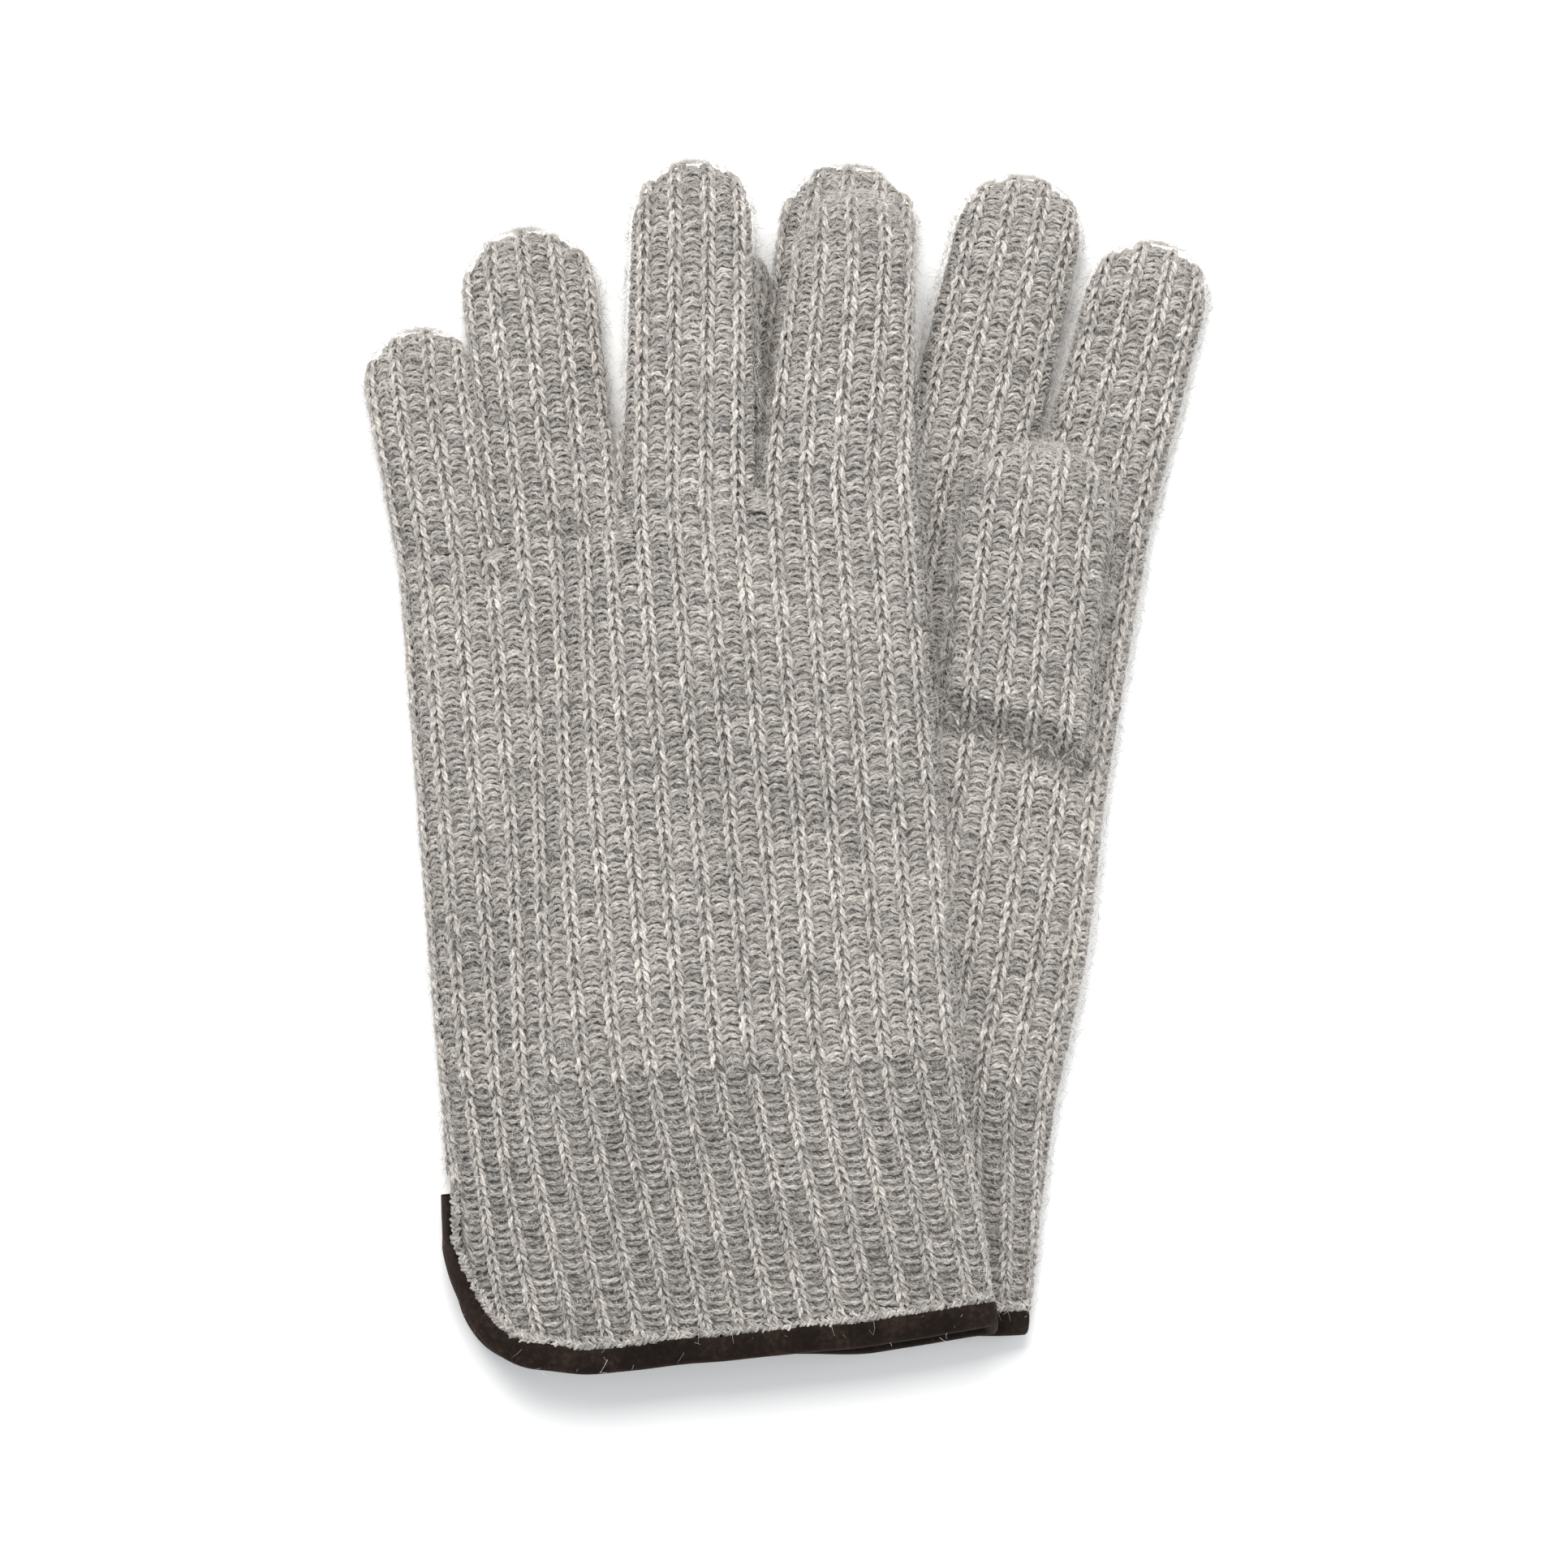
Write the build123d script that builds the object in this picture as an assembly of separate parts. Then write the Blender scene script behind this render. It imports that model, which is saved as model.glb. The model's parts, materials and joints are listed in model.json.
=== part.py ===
"""A pair of ribbed knitted gloves lying flat, the left one across the right one.

The right glove lies palm up with its thumb folded over its palm. The left glove lies
back up, draped over the right one, with its thumb folded under its own palm. Each cuff
has a short side vent and a suede binding along the hem and up the vent.

Each glove is drawn in its own frame: u across the hand (towards the index finger),
v from the hem to the fingertips, z up from the table.
"""
import os
from math import cos, radians, sin

from build123d import *

# The fabric and the flattened tubes, mm
KNIT = 2.5
TUBE = 10.0
LIFT_GAP = 0.3
JOINT_GAP = 0.2
WIDTH_STEPS = 10
SETTLE = 0.15

# Where each glove's frame stands in the pair, mm and degrees
LEFT_AT = (-13.752, -119.786)
LEFT_LEAN = 4.5
RIGHT_AT = (-6.252, -116.186)
RIGHT_LEAN = -9.5

# Lengths along a glove, mm
WRIST_V = 58.0
VENT_TOP_V = 38.0
VENT_TACK = 0.4
HAND_TOP_V = 178.0
TIP_SHRINK = 0.55
# Beyond every edge of a glove, for shapes that cut right across it
PAST_SIDE = 70.0

# The left glove's drape over the right one's little-finger side, mm
STEP_UP = TUBE + LIFT_GAP
EDGE_U = -40.7
EDGE_V = 25.5
EDGE_SKEW = 0.2487
RAMP_LEAD = 19.0
RAMP_RUN = 22.0
FADE_RUN = 30.0

# The soft swelling of the left glove's back over its folded thumb, mm
SWELL = 1.7
SWELL_U = 24.0
SWELL_V = 128.0
SWELL_RU = 46.0
SWELL_RV = 58.0

# The cuff's trimmings and the vent's reach across the cuff's side, mm
BAND = 4.6
BINDING_PROUD = 0.4
VENT_SPAN = (-68.0, -20.0)
EDGE_ROW = 1.6
RIGHT_HEM_SHIFT = 5.5

# The thumbs, mm
THUMB_THICK = 9.0
THUMB_KNIT = 2.2
PRESSED_THICK = 5.5
PRESSED_KNIT = 1.9
CREASE_V = 131.0
PASSAGE = (21.0, 41.0, 139.0, 148.0)
JOIN_SPAN = {"left": (14.0, 44.0), "right": (19.0, 45.0)}
THUMB_TIP_V = 189.7
THUMB_TIP_U = 28.6
# The thumb's rings from its crease: v, left and right u, thickness
THUMB_RINGS = (
    (CREASE_V + 0.2, 17.2, 46.6, 5.2),
    (134.2, 16.4, 46.8, 7.8),
    (138.5, 15.4, 46.8, THUMB_THICK),
    (147.0, 13.2, 46.8, THUMB_THICK),
    (160.0, 11.9, 46.4, THUMB_THICK),
    (173.0, 12.0, 45.4, THUMB_THICK),
)
# The left thumb, the room for it under its palm, and the fabric over that room, each given as a finger is
PRESSED = (118.0, 12.0, 46.0, 154.0, 12.0, 45.0, 169.0, 28.5)
PRESSED_ROOM = (118.0, 11.6, 46.4, 154.0, 11.6, 45.4, 169.5, 28.5)
PRESSED_COVER = (118.0, 9.2, 48.8, 154.0, 9.2, 47.8, 172.0, 28.5)
COVER_START_V = 115.6
ROOM_BELOW = 1.0
COVER_BELOW = 3.0

# Seams inside, mm
SEAM_REACH = 1.3
SEAM_HEIGHT = 1.6
FORK_RADIUS = 0.8
JOIN_WIDTH = 1.5
JOIN_HEIGHT = 1.0
FORK_BACK = 1.6

# A finger: base v, base left and right u, shoulder v, shoulder left and right u, tip v, tip u
LEFT_FINGERS = {
    "little": (168.2, -51.9, -32.8, 202.0, -55.9, -34.1, 213.9, -45.0),
    "ring": (170.0, -32.4, -6.9, 219.0, -34.5, -8.3, 232.6, -21.8),
    "middle": (174.0, -6.5, 21.6, 229.0, 0.2, 24.8, 243.0, 13.4),
    "index": (176.4, 22.0, 54.2, 221.0, 33.4, 56.2, 234.2, 45.4),
}
RIGHT_FINGERS = {
    "little": (168.2, -52.4, -30.1, 207.0, -55.0, -31.4, 219.7, -43.2),
    "ring": (170.0, -29.7, -3.0, 226.0, -32.0, -4.9, 239.7, -18.6),
    "middle": (192.8, 1.4, 26.6, 229.5, 2.6, 28.4, 243.3, 16.0),
    "index": (192.8, 27.0, 53.6, 221.0, 31.0, 55.8, 234.4, 44.4),
}
# The parts of the right middle and index fingers that lie under the thumb's tip
RIGHT_ROOTS = {
    "middle": (168.0, -2.4, 26.2, 192.4, 1.4, 26.6),
    "index": (168.0, 26.6, 52.4, 192.4, 27.0, 53.6),
}
ROOT_INSET = 0.12
RIGHT_BASES = {"little": 168.2, "ring": 170.0, "middle": 174.0, "index": 176.4}
RIGHT_STRIPS = {"little": -30.1, "ring": -2.7, "middle": 26.4, "index": 60.0}
LEFT_STRIPS = {"little": -32.6, "ring": -6.7, "middle": 21.8, "index": 60.0}


def smooth(t):
    """A soft step from 0 to 1."""
    t = min(max(t, 0.0), 1.0)
    return t * t * (3.0 - 2.0 * t)


def between(a, b, t):
    """The value a share t of the way from a to b."""
    return a + (b - a) * t


def drape(u, v):
    """Height of the left glove's underside where it lies over the right glove."""
    edge = EDGE_U + EDGE_SKEW * max(v - EDGE_V, 0.0)
    return STEP_UP * smooth((u - edge + RAMP_LEAD) / RAMP_RUN)


def flat(u, v):
    """Height of the right glove's underside, which is trimmed level afterwards."""
    return -SETTLE


def swell(u, v):
    """The soft rise of the left glove's back over its folded thumb."""
    across = smooth(1.0 - abs(u - SWELL_U) / SWELL_RU)
    along = smooth(1.0 - abs(v - SWELL_V) / SWELL_RV)
    return SWELL * across * along


def no_swell(u, v):
    """A back that doesn't swell."""
    return 0.0


def run(points):
    """A smooth edge through points, or a straight one where they are level."""
    if max(p[2] for p in points) - min(p[2] for p in points) < 0.01:
        return Edge.make_line(points[0], points[-1])
    return Edge.make_spline([Vector(*p) for p in points])


def section(v, left, right, low, high):
    """A flattened ring across a tube: near-flat top and bottom, half-round sides."""
    mid = (left + right) / 2
    radius = min((high(mid, v) - low(mid, v)) / 2, (right - left) / 2 - 0.2)
    start = left + radius
    stop = right - radius
    across = [between(start, stop, i / WIDTH_STEPS) for i in range(WIDTH_STEPS + 1)]
    under = [(u, v, low(u, v)) for u in across]
    over = [(u, v, high(u, v)) for u in reversed(across)]
    right_side = (right, v, (low(stop, v) + high(stop, v)) / 2)
    left_side = (left, v, (low(start, v) + high(start, v)) / 2)
    edges = [
        run(under),
        Edge.make_three_point_arc(under[-1], right_side, over[0]),
        run(over),
        Edge.make_three_point_arc(over[-1], left_side, under[0]),
    ]
    return Face(Wire(edges))


def level_cut(shape):
    """The shape without anything below the table."""
    below = Pos(0, 120, -10) * Box(300, 400, 20)
    return shape - below


def main_solid(shape):
    """The largest solid of a shape."""
    return max(shape.solids(), key=lambda solid: solid.volume)


def bounds_of(floor, thick, inset, rise):
    """Low and high surfaces of a tube, drawn in by the fabric's thickness."""
    low = lambda u, v: floor(u, v) + inset
    high = lambda u, v: floor(u, v) + thick - inset + rise(u, v)
    return low, high


def hand_tube(sides, floor, rise, inset, first, last, steps):
    """The tube of a hand or a cuff between two distances from the hem."""
    low, high = bounds_of(floor, TUBE, inset, rise)
    rings = []
    for i in range(steps + 1):
        v = between(first, last, i / steps)
        left, right = sides(v)
        rings.append(section(v, left + inset, right - inset, low, high))
    return loft(rings, ruled=True)


def finger_tube(shape, floor, thick, inset, start):
    """A finger's closed outer shape, or its hollow when it is drawn in."""
    base, left_0, right_0, shoulder, left_1, right_1, tip, tip_u = shape
    low, high = bounds_of(floor, thick, inset, no_swell)
    rings = []
    for share in (0.0, 0.34, 0.67):
        v = between(base, shoulder, share)
        if share == 0.0:
            v = start
        left = between(left_0, left_1, share) + inset
        right = between(right_0, right_1, share) - inset
        rings.append(section(v, left, right, low, high))
    half = (right_1 - left_1) / 2 - inset
    centre = (left_1 + right_1) / 2
    reach = tip - inset - shoulder
    for angle in (0, 28, 52, 72):
        v = shoulder + reach * sin(radians(angle))
        middle = between(centre, tip_u, sin(radians(angle)))
        squeeze = (thick / 2 - inset) * TIP_SHRINK * (1 - cos(radians(angle)))
        thin_low = lambda u, w, s=squeeze: low(u, w) + s
        thin_high = lambda u, w, s=squeeze: high(u, w) - s
        wide = half * cos(radians(angle))
        rings.append(section(v, middle - wide, middle + wide, thin_low, thin_high))
    return loft(rings, ruled=True)


def strip_box(left, right, first, last, low, high):
    """A plain box between limits in a glove's frame."""
    centre = ((left + right) / 2, (first + last) / 2, (low + high) / 2)
    return Pos(*centre) * Box(right - left, last - first, high - low)


def staircase(strips, bases, gap):
    """Everything past the finger bases, to cut from the hand."""
    left = -PAST_SIDE
    pieces = []
    for name, right in strips.items():
        pieces.append(strip_box(left, right, bases[name] - gap[name], 300.0, -5.0, 40.0))
        left = right
    return pieces


def hem_face(shift, inset):
    """The plan area kept above a hem line, its rounded vent corner included."""
    line = Spline(
        (70.0, 4.2 + shift * 1.5 + inset),
        (24.0, 0.2 + shift + inset),
        (-27.0, -1.2 + shift * 0.7 + inset),
        (-47.0 + inset * 0.5, 6.5 + shift * 0.5 + inset * 0.5),
        (-53.2 + inset * 0.35, 20.0),
        (-55.0 + inset * 0.2, VENT_TOP_V + 2.0),
    )
    rest = Polyline(
        (-55.0 + inset * 0.2, VENT_TOP_V + 2.0),
        (-75.0, VENT_TOP_V + 2.0),
        (-75.0, 90.0),
        (70.0, 90.0),
        (70.0, 4.2 + shift * 1.5 + inset),
    )
    return Face(Wire(line.edges() + rest.edges()))


def above_hem(shift, inset):
    """The block standing on the area above a hem line."""
    return Pos(0, 0, -5) * extrude(hem_face(shift, inset), 50, dir=(0, 0, 1))


def cuff_parts(sides, floor, shift, band):
    """The rib cuff, its edge row and its suede binding, with the vent open."""
    outer = hand_tube(sides, floor, no_swell, 0.0, -8.0, WRIST_V, 6)
    hollow = hand_tube(sides, floor, no_swell, KNIT, -9.0, WRIST_V + 1.0, 6)
    vent_sides = lambda v: VENT_SPAN
    vent = hand_tube(vent_sides, floor, no_swell, KNIT + 0.1, -9.0, VENT_TOP_V, 5)
    shell = level_cut(outer - hollow - vent)
    proud_sides = lambda v: (sides(v)[0] - BINDING_PROUD, sides(v)[1] + BINDING_PROUD)
    proud = lambda u, v: BINDING_PROUD
    wrap = hand_tube(proud_sides, floor, proud, 0.0, -8.0, VENT_TOP_V + 2.0, 5)
    wrap = level_cut(wrap - hollow - vent)
    to_knit = above_hem(shift, band + EDGE_ROW)
    to_row = above_hem(shift, band)
    to_edge = above_hem(shift, 0.0)
    below_vent = strip_box(-PAST_SIDE, PAST_SIDE, -20, VENT_TOP_V - VENT_TACK, -5, 45)
    return {
        "cuff": shell & to_knit,
        "cuff_edge_row": (shell & to_row) - to_knit,
        "cuff_binding": (wrap & to_edge & below_vent) - to_row,
    }


def tip_seam(hollow, tip_v, wall, centre_z):
    """The linked seam that closes a fingertip, on the inside."""
    last = tip_v - wall
    low = centre_z - SEAM_HEIGHT / 2
    zone = strip_box(-PAST_SIDE, PAST_SIDE, last - SEAM_REACH - 1.0, last + 2.0, low, low + SEAM_HEIGHT)
    return hollow & zone


def fork_stitches(hollow, places):
    """The stitches that join palm and back between neighbouring fingers."""
    solids = []
    for u, v in places:
        solids.append(hollow & (Pos(u, v, 15) * Cylinder(FORK_RADIUS, 60)))
    return Compound(children=[s for made in solids for s in made.solids()])


def left_sides(v):
    """Side edges of the left hand and cuff."""
    flare = max(1.0 - v / WRIST_V, 0.0)
    return -51.7 - 2.9 * flare, 54.2 + 2.1 * flare


def right_sides(v):
    """Side edges of the right hand and cuff."""
    flare = max(1.0 - v / WRIST_V, 0.0)
    return -52.4 - 1.6 * flare, 52.4 + 1.8 * smooth(1.0 - abs(v - 88.0) / 40.0) + 1.8 * flare


def left_floor(name):
    """How a left finger lies: down on the table, or level over the right glove."""
    base = LEFT_FINGERS[name][0]
    settles = name in ("little", "ring")

    def floor(u, v):
        fade = smooth((v - base) / FADE_RUN) if settles else 0.0
        return drape(u, base) * (1.0 - fade)

    return floor


def left_glove():
    """All pieces of the left glove in its own frame."""
    bases = {name: shape[0] for name, shape in LEFT_FINGERS.items()}
    gaps = {name: JOINT_GAP for name in bases}
    parts = {}
    outer = hand_tube(left_sides, drape, swell, 0.0, WRIST_V, HAND_TOP_V, 15)
    hollow = hand_tube(left_sides, drape, swell, KNIT, WRIST_V - 1.0, HAND_TOP_V + 1.0, 15)
    start = PRESSED[0]
    level = lambda u, v: STEP_UP
    pressed = finger_tube(PRESSED, level, PRESSED_THICK, 0.0, start)
    pressed_hollow = finger_tube(PRESSED, level, PRESSED_THICK, PRESSED_KNIT, start - 1.0)
    room_floor = lambda u, v: STEP_UP - ROOM_BELOW
    room_height = ROOM_BELOW + PRESSED_THICK + LIFT_GAP
    pocket = finger_tube(PRESSED_ROOM, room_floor, room_height, 0.0, start)
    cover_floor = lambda u, v: STEP_UP - COVER_BELOW
    cover_height = COVER_BELOW + PRESSED_THICK + LIFT_GAP + KNIT
    cover = finger_tube(PRESSED_COVER, cover_floor, cover_height, 0.0, COVER_START_V)
    inside = hollow - cover
    join_v = start - 0.2
    left, right = JOIN_SPAN["left"]
    join = strip_box(left, right, join_v - JOIN_WIDTH, join_v, STEP_UP + 0.1, STEP_UP + JOIN_HEIGHT)
    notch = strip_box(left, right, join_v - JOIN_WIDTH, join_v + 1.0, STEP_UP - 1.0, STEP_UP + JOIN_HEIGHT)
    hand = main_solid(outer - pocket - inside)
    for piece in staircase(LEFT_STRIPS, bases, gaps):
        hand = hand - piece
    parts["hand"] = main_solid(level_cut(hand - notch))
    parts["thumb"] = pressed - pressed_hollow
    parts["thumb_tip_seam"] = tip_seam(pressed_hollow, PRESSED[6], PRESSED_KNIT, STEP_UP + PRESSED_THICK / 2)
    parts["thumb_join"] = join
    for name, shape in LEFT_FINGERS.items():
        floor = left_floor(name)
        start = shape[0] + JOINT_GAP
        body = finger_tube(shape, floor, TUBE, 0.0, start)
        inner = finger_tube(shape, floor, TUBE, KNIT, start - 1.0)
        parts[name + "_finger"] = level_cut(body - inner)
        tip_z = floor(shape[7], shape[6]) + TUBE / 2
        parts[name + "_tip_seam"] = tip_seam(inner, shape[6], KNIT, tip_z)
    places = [(LEFT_STRIPS[n], bases[n] - FORK_BACK) for n in ("little", "ring", "middle")]
    parts["finger_forks"] = fork_stitches(inside, places)
    parts.update(cuff_parts(left_sides, drape, 0.0, BAND))
    return parts


def root_tube(root, inset, reach):
    """The lower part of a right finger that stays with the hand, or its hollow."""
    base, left_0, right_0, top, left_1, right_1 = root
    low, high = bounds_of(flat, TUBE, inset, no_swell)
    rings = []
    for share in (0.0, 0.5, 1.0):
        v = between(base, top + reach, share)
        left = between(left_0, left_1, share) + inset
        right = between(right_0, right_1, share) - inset
        rings.append(section(v, left, right, low, high))
    return loft(rings, ruled=True)


def right_glove():
    """All pieces of the right glove in its own frame."""
    gaps = {name: 0.0 for name in RIGHT_BASES}
    parts = {}
    hand = hand_tube(right_sides, flat, no_swell, 0.0, WRIST_V, HAND_TOP_V, 8)
    inside = hand_tube(right_sides, flat, no_swell, KNIT, WRIST_V - 1.0, HAND_TOP_V + 1.0, 8)
    for piece in staircase(RIGHT_STRIPS, RIGHT_BASES, gaps):
        hand = hand - piece
    hollows = [inside]
    for root in RIGHT_ROOTS.values():
        hand = hand + root_tube(root, ROOT_INSET, 0.0)
        hollows.append(root_tube(root, KNIT + ROOT_INSET, 1.0))
    for hollow in hollows:
        hand = hand - hollow
    left, right, first, last = PASSAGE
    passage = strip_box(left, right, first, last, KNIT * 2, TUBE + THUMB_KNIT + 1.5)
    parts["hand"] = level_cut(hand - passage)
    for name, shape in RIGHT_FINGERS.items():
        body = finger_tube(shape, flat, TUBE, 0.0, shape[0])
        inner = finger_tube(shape, flat, TUBE, KNIT, shape[0] - 1.0)
        parts[name + "_finger"] = level_cut(body - inner)
        parts[name + "_tip_seam"] = tip_seam(inner, shape[6], KNIT, TUBE / 2)
    thumb_floor = lambda u, v: STEP_UP
    body = thumb_tube(thumb_floor, 0.0)
    inner = thumb_tube(thumb_floor, THUMB_KNIT)
    parts["thumb"] = body - inner - passage
    parts["thumb_tip_seam"] = tip_seam(inner, THUMB_TIP_V, THUMB_KNIT, STEP_UP + THUMB_THICK / 2)
    left, right = JOIN_SPAN["right"]
    join_v = CREASE_V - 0.2
    top = TUBE + JOIN_HEIGHT
    parts["thumb_join"] = strip_box(left, right, join_v - JOIN_WIDTH, join_v, TUBE - SETTLE, top)
    places = [(RIGHT_STRIPS[n], RIGHT_BASES[n] - FORK_BACK) for n in ("little", "ring", "middle")]
    parts["finger_forks"] = fork_stitches(inside, places)
    parts.update(cuff_parts(right_sides, flat, RIGHT_HEM_SHIFT, BAND))
    return parts


def thumb_tube(floor, inset):
    """The right thumb, closed at its crease and at its tip, or its hollow."""
    rings = []
    for v, left, right, thick in THUMB_RINGS:
        low, high = bounds_of(floor, thick, inset, no_swell)
        at = v + inset if v < CREASE_V + 2 else v
        rings.append(section(at, left + inset, right - inset, low, high))
    v_0, left_0, right_0, thick_0 = THUMB_RINGS[-1]
    half = (right_0 - left_0) / 2 - inset
    centre = (left_0 + right_0) / 2
    reach = THUMB_TIP_V - inset - v_0
    for angle in (28, 52, 72):
        turn = radians(angle)
        middle = between(centre, THUMB_TIP_U, sin(turn))
        squeeze = (thick_0 / 2 - inset) * TIP_SHRINK * (1 - cos(turn))
        low = lambda u, w, s=squeeze: floor(u, w) + inset + s
        high = lambda u, w, s=squeeze: floor(u, w) + thick_0 - inset - s
        wide = half * cos(turn)
        rings.append(section(v_0 + reach * sin(turn), middle - wide, middle + wide, low, high))
    return loft(rings, ruled=True)


def main():
    """Builds both gloves, sets them in the pair's frame and writes one file for each piece."""
    os.makedirs("parts", exist_ok=True)
    for side, parts, at, lean in (
        ("left", left_glove(), LEFT_AT, LEFT_LEAN),
        ("right", right_glove(), RIGHT_AT, RIGHT_LEAN),
    ):
        place = Plane((at[0], at[1], 0.0), x_dir=(cos(radians(lean)), sin(radians(lean)), 0.0))
        for name, shape in parts.items():
            solids = [place.from_local_coords(solid) for solid in shape.solids()]
            export_step(Compound(children=solids), f"parts/{side}_{name}.step")


main()
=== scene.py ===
"""A pair of ribbed wool gloves lying flat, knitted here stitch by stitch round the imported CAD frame.

Each hand, cuff, finger and thumb is a flattened tube of base fabric that carries its own yarn:
chain ribs, the arched strands between them, and a halo of loose fibres. A suede strip binds
each cuff. Lengths below are millimetres in a glove's own frame: u across the hand towards the
index finger, v from the hem to the fingertips, z up from the table.
"""
import json
import math

import bpy
import numpy as np
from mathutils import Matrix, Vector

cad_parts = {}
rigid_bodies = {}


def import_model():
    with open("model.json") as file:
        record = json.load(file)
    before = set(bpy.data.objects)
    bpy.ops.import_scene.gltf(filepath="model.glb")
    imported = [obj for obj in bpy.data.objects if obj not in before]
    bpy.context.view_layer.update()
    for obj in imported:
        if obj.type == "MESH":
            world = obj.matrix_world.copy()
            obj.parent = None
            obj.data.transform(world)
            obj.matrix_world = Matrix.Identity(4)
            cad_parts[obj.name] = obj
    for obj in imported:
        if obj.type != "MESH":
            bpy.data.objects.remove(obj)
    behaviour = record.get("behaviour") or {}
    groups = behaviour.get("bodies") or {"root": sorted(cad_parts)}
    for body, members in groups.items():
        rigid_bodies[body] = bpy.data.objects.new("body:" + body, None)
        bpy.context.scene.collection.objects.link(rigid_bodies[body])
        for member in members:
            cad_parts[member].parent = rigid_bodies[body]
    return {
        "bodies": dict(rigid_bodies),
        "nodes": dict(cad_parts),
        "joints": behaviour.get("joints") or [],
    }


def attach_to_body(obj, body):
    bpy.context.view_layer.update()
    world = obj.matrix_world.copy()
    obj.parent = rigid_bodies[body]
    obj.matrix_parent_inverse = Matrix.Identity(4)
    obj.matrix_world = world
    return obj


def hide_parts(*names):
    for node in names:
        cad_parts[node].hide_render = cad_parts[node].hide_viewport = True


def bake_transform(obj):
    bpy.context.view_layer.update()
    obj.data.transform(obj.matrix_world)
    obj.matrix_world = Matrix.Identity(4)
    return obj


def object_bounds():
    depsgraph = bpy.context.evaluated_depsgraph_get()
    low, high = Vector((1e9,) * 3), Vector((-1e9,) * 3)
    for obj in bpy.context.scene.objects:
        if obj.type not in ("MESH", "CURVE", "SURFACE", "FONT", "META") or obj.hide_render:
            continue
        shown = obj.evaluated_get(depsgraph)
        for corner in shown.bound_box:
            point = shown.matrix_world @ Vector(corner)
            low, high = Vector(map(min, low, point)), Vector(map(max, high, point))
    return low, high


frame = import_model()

CAD_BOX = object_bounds()
MM = 0.001
RNG = np.random.default_rng(11)
JOINTS = {joint["name"]: joint for joint in frame["joints"]}

# The gloves' own dimensions, as the CAD has them
TUBE = 10.0
STEP_UP = 10.3
WRIST_V = 58.0
VENT_TOP_V = 38.0
CREASE_V = 131.0
ROOT_V = 192.6
TOP_OF_HAND = 178.0
BELOW_HEM = -9.0
BAND = 4.6
RIGHT_HEM_SHIFT = 5.5
# The left glove's drape over the right one: where its ramp starts, and how far its fingers take to lie down
EDGE_U = -40.7
EDGE_V = 25.5
EDGE_SKEW = 0.2487
RAMP_LEAD = 19.0
RAMP_RUN = 22.0
FADE_RUN = 30.0
# The soft bulge over the left thumb and the dip along its lower edge
BULGE = 2.7
BULGE_DIP = 2.2
BULGE_V = 113.0
BULGE_SLANT = 0.3
# How far in each kind of tube is rounded at its sides, and how much its faces are crowned
SECTIONS = {"hand": (6.5, 0.05), "finger": (8.5, 0.16), "thumb": (9.5, 0.14), "pressed": (6.0, 0.1)}
# A finger: base v, base left and right u, shoulder v, shoulder left and right u, tip v, tip u
FINGERS = {
    "left": {
        "little": (168.2, -51.9, -32.8, 202.0, -55.9, -34.1, 213.9, -45.0),
        "ring": (170.0, -32.4, -6.9, 219.0, -34.5, -8.3, 232.6, -21.8),
        "middle": (174.0, -6.5, 21.6, 229.0, 0.2, 24.8, 243.0, 13.4),
        "index": (176.4, 22.0, 54.2, 221.0, 33.4, 56.2, 234.2, 45.4),
    },
    "right": {
        "little": (168.2, -52.4, -30.1, 207.0, -55.0, -31.4, 219.7, -43.2),
        "ring": (170.0, -29.7, -3.0, 226.0, -32.0, -4.9, 239.7, -18.6),
        "middle": (174.0, -2.4, 26.2, 229.5, 2.6, 28.4, 243.3, 16.0),
        "index": (176.4, 26.6, 52.4, 221.0, 31.0, 55.8, 234.4, 44.4),
    },
}
THUMBS = {
    "left": (118.0, 12.0, 46.0, 154.0, 12.0, 45.0, 169.0, 28.5),
    "right": (124.0, 17.5, 46.6, 173.0, 12.0, 45.4, 189.7, 28.6),
}
PRESSED_THICK = 5.5
THUMB_THICK = 9.0
# The foot of the right thumb: it rises out of the palm from FOOT_V on, along a line slanted about FOOT_U
FOOT_V = 124.0
FOOT_U = 30.0
FOOT_SLANT = 0.14
FOOT_RUN = 13.0
FOOT_SUNK = 6.0
FOOT_CREASE_V = 128.5
JOIN_STITCHES = 34
FORK_STITCHES = 9

# The knit
SKIN = 1.6
EDGE_OUT = 0.9
RIB = 6.78
ROW = 2.65
ARCH = 1.32
CUFF_ROW = 2.0
CUFF_ARCH = 1.66
CUFF_LEAN = math.tan(math.radians(8.5))
BEND = 12.0
RIDGE = 0.75
BASE_RIDGE = 0.75 * RIDGE
# The fabric under the yarn is darkened as painted shade for the gaps between the strands
BASE_PAINTED_SHADE = -0.4
HAND_CELL = 0.95
DIGIT_CELL = 0.85
CELL_LENGTH = 1.25
FIBRE_STRETCH = 6.0
YARN = 0.5
TWIST = 1.5
# The legs of a rib's links, half apart at their feet and at their heads
LEG_FEET = 1.42
LEG_HEADS = 0.46
# Loose fibres: where the rim starts as a share of the width, how far they crowd back from a tip, and how
# many there are on a square millimetre and along a millimetre of rim
RIM_START = 0.86
TIP_REACH = 14.0
HALO = 1.5
HALO_RIM = 16.0
SHORTEST_TIP = 190.0
UP = np.array([0.0, 0.0, 1.0])
# How far the cuff's yarn is darkened: the purl bumps low in the valleys between ribs by this much, as
# painted shade, and the ribs by a quarter of it
CUFF_PAINTED_SHADE = 0.4
FLOOR_GAP = 0.02
# Rows of the tubes' tables
HAND_ROWS = 170
DIGIT_ROWS = 46
TIP_ROWS = 30
RIB_PHASE = {"left": 0.435, "right": 0.3}


def smooth(t):
    """A soft step from 0 to 1."""
    t = np.clip(t, 0.0, 1.0)
    return t * t * (3.0 - 2.0 * t)


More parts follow.
